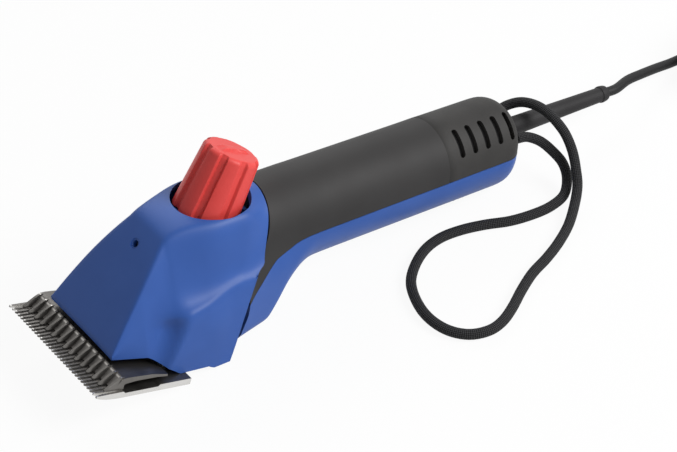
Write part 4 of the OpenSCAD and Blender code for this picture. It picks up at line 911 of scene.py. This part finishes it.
# %% Head shell
KNOB_TILT = math.radians(25)
KNOB_FOOT = np.array([-KNOB_SET, 0, 14.6])
KNOB_AXIS = np.array([math.sin(KNOB_TILT), 0, math.cos(KNOB_TILT)])
KNOB_R, KNOB_H, KNOB_GAP, KNOB_SINK, RECESS_REACH = 15.7, 33, 2.1, 0.6, 60
OIL_R, OIL_RIM, OIL_SET, OIL_SINK, OIL_REACH = 1.7, 0.9, 10.1, 0.35, 6
oil_at = np.array([CREST[0] - OIL_SET * math.cos(FACE_SLOPE), 0, 0])
oil_at[2] = head_top(oil_at[0])
oil_axis = np.array([-math.sin(FACE_SLOPE), 0, math.cos(FACE_SLOPE)])
oil_out = oil_at + OIL_REACH * oil_axis
recess_floor = KNOB_FOOT - (KNOB_SINK + 0.4) * KNOB_AXIS
head_shell = piece_of(shell_mesh("head_shell", head_outer, head_inner))
cut(head_shell, [drill(KNOB_R + KNOB_GAP, recess_floor, KNOB_FOOT + RECESS_REACH * KNOB_AXIS, sides=128),
                 drill(OIL_R, oil_at - OIL_REACH * oil_axis, oil_out),
                 drill(OIL_R + OIL_RIM, oil_at - OIL_SINK * oil_axis, oil_out)])
shade(head_shell.data, SHARP)
stand_in(head_shell, royal_blue, "head_housing")

# %% [markdown]
# ## The handle
# The grip is round above the motor's axis and deeper below it, and it flares towards the head into a prong
# that carries the joint. A charcoal shell covers the top, a grained cap closes the rear with its air slots,
# and a blue shell makes the belly. All three come from the same sections, cut at the parting line. The seam
# before the cap slants through the wall, so that no light is seen through it.

# %% Handle sections
PRONG_W, PRONG_DROP, PRONG_CORNER = 57, 17.2, 5
GRIP_X, CAP_JOINT, SHELL_WALL, SEAM = 25, 104, 2.4, 0.3
SIDE_DEPTH, PART_Z, TAIL_DROP, END_WALL = 16, -2.6, 21.4, 3
BOOT_R, PRONG_SLOT, SLOT_Z, CAP_SEAM, SEAM_LEAN = 5.3, 5.2, (-12, -32), 0.6, 1.25
FLARE_POWER, TAIL_POWER, INNER_ROUND, SMALL_R = 1.3, 3.2, 0.9, 12
PRONG = [(0.386, 1), (0.43, 0.74), (0.48, 0.55), (0.55, 0.38), (0.65, 0.22), (0.78, 0.09), (0.95, 0)]
BOXY = [(0, 1), (0.45, 0.85), (0.6, 0.5), (0.8, 0.15), (1, 0)]
half_seam = SEAM / 2
FRONT_PLACES = [*np.linspace(0, 0.36, 12), *np.linspace(0.38, 0.62, 17), *np.linspace(0.65, 1, 11)[:-1]]
PLAIN_END, SHELL_RELAX = HANDLE_LEN - REAR_ROUND - 3, 6
UPPER_ROWS, CAP_ROWS, LOWER_ROWS = 15, 9, 22


def grip_r(x, wall):
    return mix(HANDLE_R, REAR_R, max(0, x) / HANDLE_LEN) - wall


def side_y(r, wide, z):
    return mix(r, wide, ease(0, 1, min(1, -z / SIDE_DEPTH)))


def upper_half(r, wide, part):
    arc = [pair(r * math.sin(a), r * math.cos(a)) for a in np.radians(np.arange(0, 91, 4.5))]
    return arc + [pair(side_y(r, wide, part * f), part * f) for f in np.linspace(0, 1, 9)[1:]]


def lower_half(r, wide, part, low, corner):
    deep = low - corner
    side = [pair(side_y(r, wide, z), z) for z in np.linspace(part, -deep, 9)]
    arc = [pair(wide - corner + corner * math.cos(a), -deep - corner * math.sin(a))
           for a in np.radians(np.arange(7.5, 90, 7.5))]
    return side + arc + [pair(max(0.3, wide - corner) * f, -low) for f in (1, 0.66, 0.33, 0)]


def joint_gap(z):
    """The joint opens into a slot behind the skirt."""
    return 2 * SEAM + PRONG_SLOT * ease(*SLOT_Z, z)


print("grip radius at the cap's end:", grip_r(HANDLE_LEN, 0))

# %% Handle grids


def flared_line(s, wall, upper):
    """Section of the flared front, from s = 0 at the joint with the head to 1 at the plain grip."""
    r = grip_r(0, wall)
    wide = mix(r, PRONG_W / 2 - wall, (1 - s) ** FLARE_POWER)
    low = HANDLE_DROP + PRONG_DROP * table(s, PRONG) - wall
    part = PART_Z - TAIL_DROP * (1 - s) ** TAIL_POWER + (half_seam if upper else -half_seam)
    corner = mix(r, PRONG_CORNER, table(s, BOXY))
    half = upper_half(r, wide, part) if upper else lower_half(r, wide, part, low, corner)
    return np.array([(mix(joint_x(z) + joint_gap(z), GRIP_X, s), y, z) for y, z in full_line(half, upper)])


def plain_line(x, shrink, wall, upper):
    """Section of the plain grip; shrink draws it in towards the rounded end."""
    r = grip_r(x, wall) - shrink
    part = (PART_Z + (half_seam if upper else -half_seam)) * min(1, r / SMALL_R)
    half = upper_half(r, r, part) if upper else lower_half(r, r, part, HANDLE_DROP - wall - shrink, r)
    return np.array([(x, y, z) for y, z in full_line(half, upper)])


def front_lines(wall, upper):
    return [flared_line(s, wall, upper) for s in FRONT_PLACES]


def end_lines(wall, upper):
    inset = END_WALL if wall else 0
    lines = []
    for a in np.radians(np.arange(0, 91, 6)):
        shrink = REAR_ROUND * (1 - math.cos(a)) * (INNER_ROUND if wall else 1)
        x = HANDLE_LEN - REAR_ROUND + (REAR_ROUND - inset) * math.sin(a)
        lines.append(plain_line(x, shrink, wall, upper))
    lines.append(plain_line(HANDLE_LEN - inset, grip_r(HANDLE_LEN, wall) - BOOT_R + 2, wall, upper))
    return lines


def plain_lines(start, end, count, wall, upper):
    return [plain_line(x, 0, wall, upper) for x in np.linspace(start, end, count)]


def upper_grid(wall):
    end = CAP_JOINT - half_seam - SEAM_LEAN * wall
    return np.array(front_lines(wall, True) + plain_lines(GRIP_X, end, UPPER_ROWS, wall, True))


def cap_grid(wall):
    start = CAP_JOINT + half_seam + CAP_SEAM - SEAM_LEAN * wall
    return np.array(plain_lines(start, PLAIN_END, CAP_ROWS, wall, True) + end_lines(wall, True))


def lower_grid(wall):
    middle = plain_lines(GRIP_X, PLAIN_END, LOWER_ROWS, wall, False)
    return np.array(front_lines(wall, False) + middle + end_lines(wall, False))


print("handle sections:", upper_grid(0).shape, cap_grid(0).shape, lower_grid(0).shape)

# %% Slots, holes and wells
VENTS, VENT_SET, VENT_PITCH, VENT_W, VENT_SIDES = 5, 9, 8.2, 3.2, 24
VENT_REACH = {-1: (24, 66), 1: (50, 84)}
VENT_DEPTH = (6, 30)


def vent_cutters():
    """Round-ended slots square to the round of the cap, on both sides."""
    tools = []
    for side, (top, low) in VENT_REACH.items():
        length = 2 * REAR_R * math.sin(math.radians(low - top) / 2) - VENT_W
        lean = side * math.radians(top + low) / 2
        out = np.array([0, math.sin(lean), math.cos(lean)])
        across = np.array([0, math.cos(lean), -math.sin(lean)])
        for i in range(VENTS):
            middle = np.array([CAP_JOINT + VENT_SET + i * VENT_PITCH, 0, 0])
            outline = []
            for k in range(VENT_SIDES):
                a = 2 * math.pi * (k + 0.5) / VENT_SIDES
                end = length / 2 if math.cos(a) > 0 else -length / 2
                outline.append(middle + across * (end + VENT_W / 2 * math.cos(a))
                               + np.array([VENT_W / 2 * math.sin(a), 0, 0]))
            slot = turned_mesh("slot", [[p + out * h for p in outline] for h in VENT_DEPTH])
            tools.append(piece_of(slot, body=None))
    return tools


def rear_holes():
    past = HANDLE_LEN + 10
    holes = [drill(BOOT_R, (HANDLE_LEN - 10, 0, 0), (past, 0, 0))]
    for y in (-HOLE_Y, HOLE_Y):
        holes.append(drill(LOOP_R + 0.2, (HANDLE_LEN - 12, y, HOLE_Z), (past, y, HOLE_Z)))
    return holes


SLIDER_LEN, SLIDER_W, SLIDER_TRAVEL, RUN_GAP = 20, 12, 6, 0.3
SWITCH_X = HANDLE_LEN - REAR_ROUND - SLIDER_LEN - SLIDER_TRAVEL - 1.5
SCREW_X, SCREW_ROW, SCREW_WELL_R, SCREW_SEAT = 95, (-10, 10), 3, -HANDLE_DROP + 5.4


def belly_cutters():
    half, below = SLIDER_W / 2 + RUN_GAP, -HANDLE_DROP - 5
    window = block_cutter((SWITCH_X - RUN_GAP, -half, below),
                          (SWITCH_X + SLIDER_LEN + SLIDER_TRAVEL + RUN_GAP, half, below + 20))
    wells = [drill(SCREW_WELL_R, (SCREW_X, y, below), (SCREW_X, y, SCREW_SEAT)) for y in SCREW_ROW]
    return [window, *wells, *rear_holes()]


print("slots:", VENTS, "on each side; switch window from", SWITCH_X)

# %% Handle pieces


def dressed_shell(name, node, grid, finish, cutters):
    outer, inner = (relax(grid(wall), SHELL_RELAX) for wall in (0, SHELL_WALL))
    piece = piece_of(shell_mesh(name, outer, inner))
    if cutters:
        cut(piece, cutters)
    shade(piece.data, SHARP)
    stand_in(piece, finish, node)


dressed_shell("grip_shell", "handle_upper", upper_grid, charcoal, [])
# The slots' walls that look to the rear get a pale painted highlight for the light that falls on them; the
# end of the cap, which looks to the rear too, is left out
LIT_WALL_FACING, CAP_END_X, WALL_HIGHLIGHT_CHIP = (0.8, 0.97), (0.088, 0.09), (170, 168, 165)
slot_wall_highlight = cap_grey.facing((1, 0, 0)).between(*LIT_WALL_FACING) * (1 - cap_grey.axis(0).between(*CAP_END_X))
cap_tone = Wire(cap_grey.tree, cap_grey.shader.inputs["Base Color"].links[0].from_socket)
cap_grey.feed("Base Color", cap_grey.blend(slot_wall_highlight, cap_tone, (*paint(*WALL_HIGHLIGHT_CHIP), 1)))
dressed_shell("end_cap", "rear_cap", cap_grid, cap_grey, vent_cutters() + rear_holes())
dressed_shell("belly_shell", "handle_lower", lower_grid, royal_blue, belly_cutters())

# %% [markdown]
# ## The belly screws
# Two screws hold the belly to the frame. Their heads sit deep in round wells, so a small round-edged head
# with a straight slot is enough, turned from a profile and cut once.

# %% Belly screws
SCREW_TOP, SCREW_SIDES = -5, 32
SLOT_LEN, SLOT_W, SLOT_FLOOR = 8, 0.8, 0.6
SCREW_PROFILE = [(0.4, -1.2), (1.6, -1.2), (2.2, -0.7), (2.3, -0.2), (2.3, 0), (1.4, 0),
                 (1.4, SCREW_TOP - SCREW_SEAT)]


def screw_rings(y):
    turns = 2 * np.pi * np.arange(SCREW_SIDES) / SCREW_SIDES
    return [np.column_stack([SCREW_X + r * np.cos(turns), y + r * np.sin(turns),
                             np.full(SCREW_SIDES, SCREW_SEAT + h)]) for r, h in SCREW_PROFILE]


def slot_cutter(y):
    return block_cutter((SCREW_X - SLOT_LEN / 2, y - SLOT_W / 2, SCREW_SEAT - 3),
                        (SCREW_X + SLOT_LEN / 2, y + SLOT_W / 2, SCREW_SEAT - SLOT_FLOOR))


screw_pair = joined("belly_screws", [turned_mesh("screw", screw_rings(y)) for y in SCREW_ROW])
belly_screws = piece_of(screw_pair)
cut(belly_screws, [slot_cutter(y) for y in SCREW_ROW])
stand_in(belly_screws, bright_steel, "handle_screws")

# %% [markdown]
# ## The tension knob
# The red knob is a slightly conical moulding with eight broad ribs, narrow grooves between them, a soft round
# at the top edge and a raised bar across the top. A turned form whose radius dips at each groove gives all of
# that in one grid, and it rides with the knob's body, because it turns and feeds with the screw.

# %% Knob
KNOB_TAPER, KNOB_ROUND, KNOB_RIBS, RIB_W, GROOVE = 2, 2.5, 8, 8.6, 1.5
GROOVE_PHASE, GROOVE_EDGE, KNOB_SIDES = 35, 0.5, 320
BAR_L, BAR_W, BAR_H, BAR_EDGES = 14, 4.4, 1, (0.6, 0.5)
RIM_R = KNOB_R - KNOB_TAPER
TOP_R = RIM_R - KNOB_ROUND


def knob_profile():
    """Radius and height from the foot up and over the top edge to the middle."""
    rim_h = KNOB_H - KNOB_ROUND
    side = [(mix(KNOB_R, RIM_R, t), mix(-KNOB_SINK, rim_h, t)) for t in np.linspace(0, 1, 9)]
    edge = [(TOP_R + KNOB_ROUND * math.cos(a), rim_h + KNOB_ROUND * math.sin(a))
            for a in np.radians(np.arange(10, 91, 10))]
    return side + edge + [(TOP_R * f, KNOB_H) for f in (0.9, 0.75, 0.6, 0.45, 0.3, 0.15)]


def groove_at(angle, radius):
    """One in a groove and nothing on a rib."""
    pitch = 2 * math.pi / KNOB_RIBS
    off = (angle - math.radians(GROOVE_PHASE) + pitch / 2) % pitch - pitch / 2
    half = (2 * math.pi * KNOB_R / KNOB_RIBS - RIB_W) / 2
    return 1 - ease(half - GROOVE_EDGE, half + GROOVE_EDGE, abs(off) * radius)


KNOB_SIDE = np.array([math.cos(KNOB_TILT), 0, -math.sin(KNOB_TILT)])
KNOB_ACROSS = np.array([0, 1, 0])


def knob_rings():
    rings = []
    for radius, height in knob_profile():
        ring = []
        for k in range(KNOB_SIDES):
            a = 2 * math.pi * k / KNOB_SIDES
            out = radius - GROOVE * groove_at(a, radius) * ease(TOP_R, RIM_R, radius)
            x, y = out * math.cos(a), out * math.sin(a)
            long_way = 1 - ease(BAR_L / 2 - BAR_EDGES[0], BAR_L / 2, abs(x))
            short_way = 1 - ease(BAR_W / 2 - BAR_EDGES[1], BAR_W / 2, abs(y))
            lift = BAR_H * (long_way * short_way) if height >= KNOB_H else 0
            ring.append(KNOB_FOOT + x * KNOB_SIDE + y * KNOB_ACROSS + (height + lift) * KNOB_AXIS)
        rings.append(ring)
    return rings


ribbed_knob = piece_of(turned_mesh("ribbed_knob", knob_rings()), body="knob")
stand_in(ribbed_knob, knob_red, "tension_knob")

# %% [markdown]
# ## The boot of the lead
# The rubber boot keeps the lead from kinking: a long taper with a round shoulder where it leaves the cap and
# a thin ring at its end. A turned profile along the handle's axis is the whole of it.

# %% Boot
BOOT_ROOT, BOOT_LIP, BOOT_SIDES = 10, 0.5, 48


def boot_rings():
    end = HANDLE_LEN + BOOT_LEN
    profile = [(HANDLE_LEN - BOOT_ROOT, BOOT_R), (HANDLE_LEN + 3, BOOT_R), (HANDLE_LEN + 5, BOOT_R - 0.1),
               (HANDLE_LEN + 7, BOOT_R - 0.35), (HANDLE_LEN + 20, BOOT_R - 0.55), (end - 30, BOOT_R - 0.95),
               (end - 4.6, BOOT_TIP_R + 0.05), (end - 4.2, BOOT_TIP_R + BOOT_LIP),
               (end - 3.2, BOOT_TIP_R + BOOT_LIP + 0.1), (end - 1, BOOT_TIP_R + 0.3), (end - 0.2, BOOT_TIP_R),
               (end, CORD_R + 0.1)]
    turns = 2 * np.pi * np.arange(BOOT_SIDES) / BOOT_SIDES
    return [np.column_stack([np.full(BOOT_SIDES, x), r * np.cos(turns), r * np.sin(turns)])
            for x, r in profile]


lead_boot = piece_of(turned_mesh("lead_boot", boot_rings()))
stand_in(lead_boot, boot_rubber, "strain_relief")

# %% [markdown]
# ## The cutter
# The cutter swings on the comb with fifteen teeth, one for every second tooth below it. Each tooth is a
# narrow ridge that climbs from its tip to the flat of the body, and the body arches clear of the comb so that
# only the teeth and the heel rub. The ridges are lofted one by one and joined with the body's outline, drawn
# across its width.

# %% Cutter
CUTTER_TEETH, CUTTER_PITCH, CUTTER_SET, BLADE_CLEAR = 15, 5, 5.6, 0.15
CUTTER_W, HEEL_U, HEEL_Y, CUTTER_TOP = 72.4, 41, 22.6, 7.5
TOOTH = [(0, 0.45, 0.3, 0.5), (0.6, 0.95, 0.45, 0.95), (2.6, 1.25, 0.55, 2.4), (5, 1.4, 0.6, 4.2),
         (6.6, 1.5, 0.6, 5.3), (7.6, 1.5, 0.5, 5.8), (9.5, 1.5, 0.4, 5.9)]
BODY_TOP = [(9.2, 0.8), (11, 2.2), (13.2, 4.6), (14.4, 5.6), (17, 5.8), (30, 5.2), (39, 3.6)]
BODY_LOW = [(39, 2.5), (33, 3.1), (22, 3.2), (16, 2.6), (13.5, BLADE_CLEAR), (9.2, BLADE_CLEAR)]
HEEL = [(28, 3.2), (28, 6), (33, CUTTER_TOP), (HEEL_U - 1.5, CUTTER_TOP), (HEEL_U, CUTTER_TOP - 2.5),
        (HEEL_U, BLADE_CLEAR), (HEEL_U - 7, BLADE_CLEAR), (HEEL_U - 8, 2), (HEEL_U - 11, 2.6)]


def blade_points(points, y):
    """Points of the blade's side view, set at a width y, in the handle's frame."""
    flat = np.array([from_blade(u, w) for u, w in points])
    return np.column_stack([flat[:, 0], np.full(len(flat), y), flat[:, 1]])


def tooth_rings(middle):
    rings = []
    for back, foot, crown, top in TOOTH:
        hip = mix(BLADE_CLEAR, top, 0.35)
        left = [(-foot, BLADE_CLEAR), (-foot, hip), (-crown, top)]
        outline = left + [(-y, w) for y, w in reversed(left)]
        side = np.array([from_blade(CUTTER_SET + back, w) for _, w in outline])
        rings.append(np.column_stack([side[:, 0], [middle + y for y, _ in outline], side[:, 1]]))
    return rings


def cutter_meshes():
    half = CUTTER_W / 2
    body = turned_mesh("body", [blade_points(BODY_TOP + BODY_LOW, y) for y in (-half, half)])
    heel = turned_mesh("heel", [blade_points(HEEL, y) for y in (-HEEL_Y, HEEL_Y)])
    row = [(i - (CUTTER_TEETH - 1) / 2) * CUTTER_PITCH for i in range(CUTTER_TEETH)]
    return [body, heel, *(turned_mesh("tooth", tooth_rings(y)) for y in row)]


toothed_cutter = piece_of(joined("toothed_cutter", cutter_meshes()), body="lever")
stand_in(toothed_cutter, cutter_steel, "cutter")

# %% [markdown]
# ## The strap of the coil
# The put-away part of the lead is held by a woven strap. It is a thin closed band that follows the rounded
# outline of the wound turns.

# %% Coil strap
STRAP_W, STRAP_T, STRAP_ROUND = 7, 0.8, 5
coil_inside, coil_outside = coil_in_r - CORD_R, coil_in_r + coil_step * coil_run + CORD_R
COIL_TOP = COIL_LIFT + coil_step * (COIL_LAYERS - 1) + 2 * CORD_R


def strap_line(offset):
    """Rounded rectangle round the turns, grown by an offset."""
    low, high = pair(coil_inside, COIL_LIFT) + STRAP_ROUND, pair(coil_outside, COIL_TOP) - STRAP_ROUND
    corners = [(high[0], low[1], -90), (high[0], high[1], 0), (low[0], high[1], 90), (low[0], low[1], 180)]
    line = []
    for x, z, start in corners:
        line += [pair(x, z) + (STRAP_ROUND + offset) * pair(math.cos(a), math.sin(a))
                 for a in np.radians(np.arange(start, start + 91, 15))]
    return np.array(line)


def strap_mesh():
    inner, outer = strap_line(STRAP_T * 0.05), strap_line(STRAP_T)
    built = bmesh.new()
    rings = []
    for line, side in ((inner, -1), (outer, -1), (outer, 1), (inner, 1)):
        y = (COIL_CENTRE[1] + side * STRAP_W / 2) * MM
        rings.append([built.verts.new(((COIL_CENTRE[0] + x) * MM, y, z * MM)) for x, z in line])
    for low, high in zip(rings, rings[1:] + rings[:1]):
        bridge(built, low, high)
    return mesh_from(built, "coil_strap", SHARP)


strap_weave = moulded("strap_weave", (40, 40, 42), (20, 20, 21), 0.8, 0.9, 1.5e-4)
coil_strap = piece_of(strap_mesh())
stand_in(coil_strap, strap_weave, "coil_tie")

# %% Dress the solids
# Replaced nodes have a finish too, so that they look right whenever they are shown
FINISH_OF = {
    royal_blue: "head_housing knob_cup screw_pillars handle_lower",
    charcoal: "handle_upper",
    cap_grey: "rear_cap",
    knob_red: "tension_knob",
    boot_rubber: "strain_relief cord_clamp loop_anchor",
    black_plastic: "switch_body switch_slider plug_body coil_tie",
    ivory_nylon: "drive_gear cooling_fan",
    brown_resin: "brush_ring",
    film_yellow: "suppressor",
    mount_rubber: "stator_mounts",
    comb_steel: "comb",
    cutter_steel: "cutter",
    bright_steel: "comb_screws fulcrum_post bed_screws head_screws front_bearing rear_bearing tension_pin"
                  " tension_screw spring_seat tension_spring lever_cones crank_shaft crank_roller"
                  " armature_shaft pinion handle_screws brush_springs",
    forged_steel: "lever",
    cast_zinc: "comb_bed bed_posts gear_case rear_bracket",
    laminated_iron: "stator_core armature_core",
    brass: "tension_bushing crank_bearing brush_holders",
    copper: "field_coils armature_windings commutator",
    carbon: "carbon_brushes",
    filter_foam: "air_filter",
    nickel: "plug_pins",
    sheath: "mains_cord cord_coil plug_lead wrist_loop",
}

for finish, names in FINISH_OF.items():
    for name in names.split():
        dress(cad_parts[name], finish)
print("dressed", sum(len(n.split()) for n in FINISH_OF.values()), "of", len(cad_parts), "nodes")
dress(mains_lead, sheath)
dress(wrist_strap, braid_black)

# %% Bring the scene up to date
bpy.context.view_layer.update()
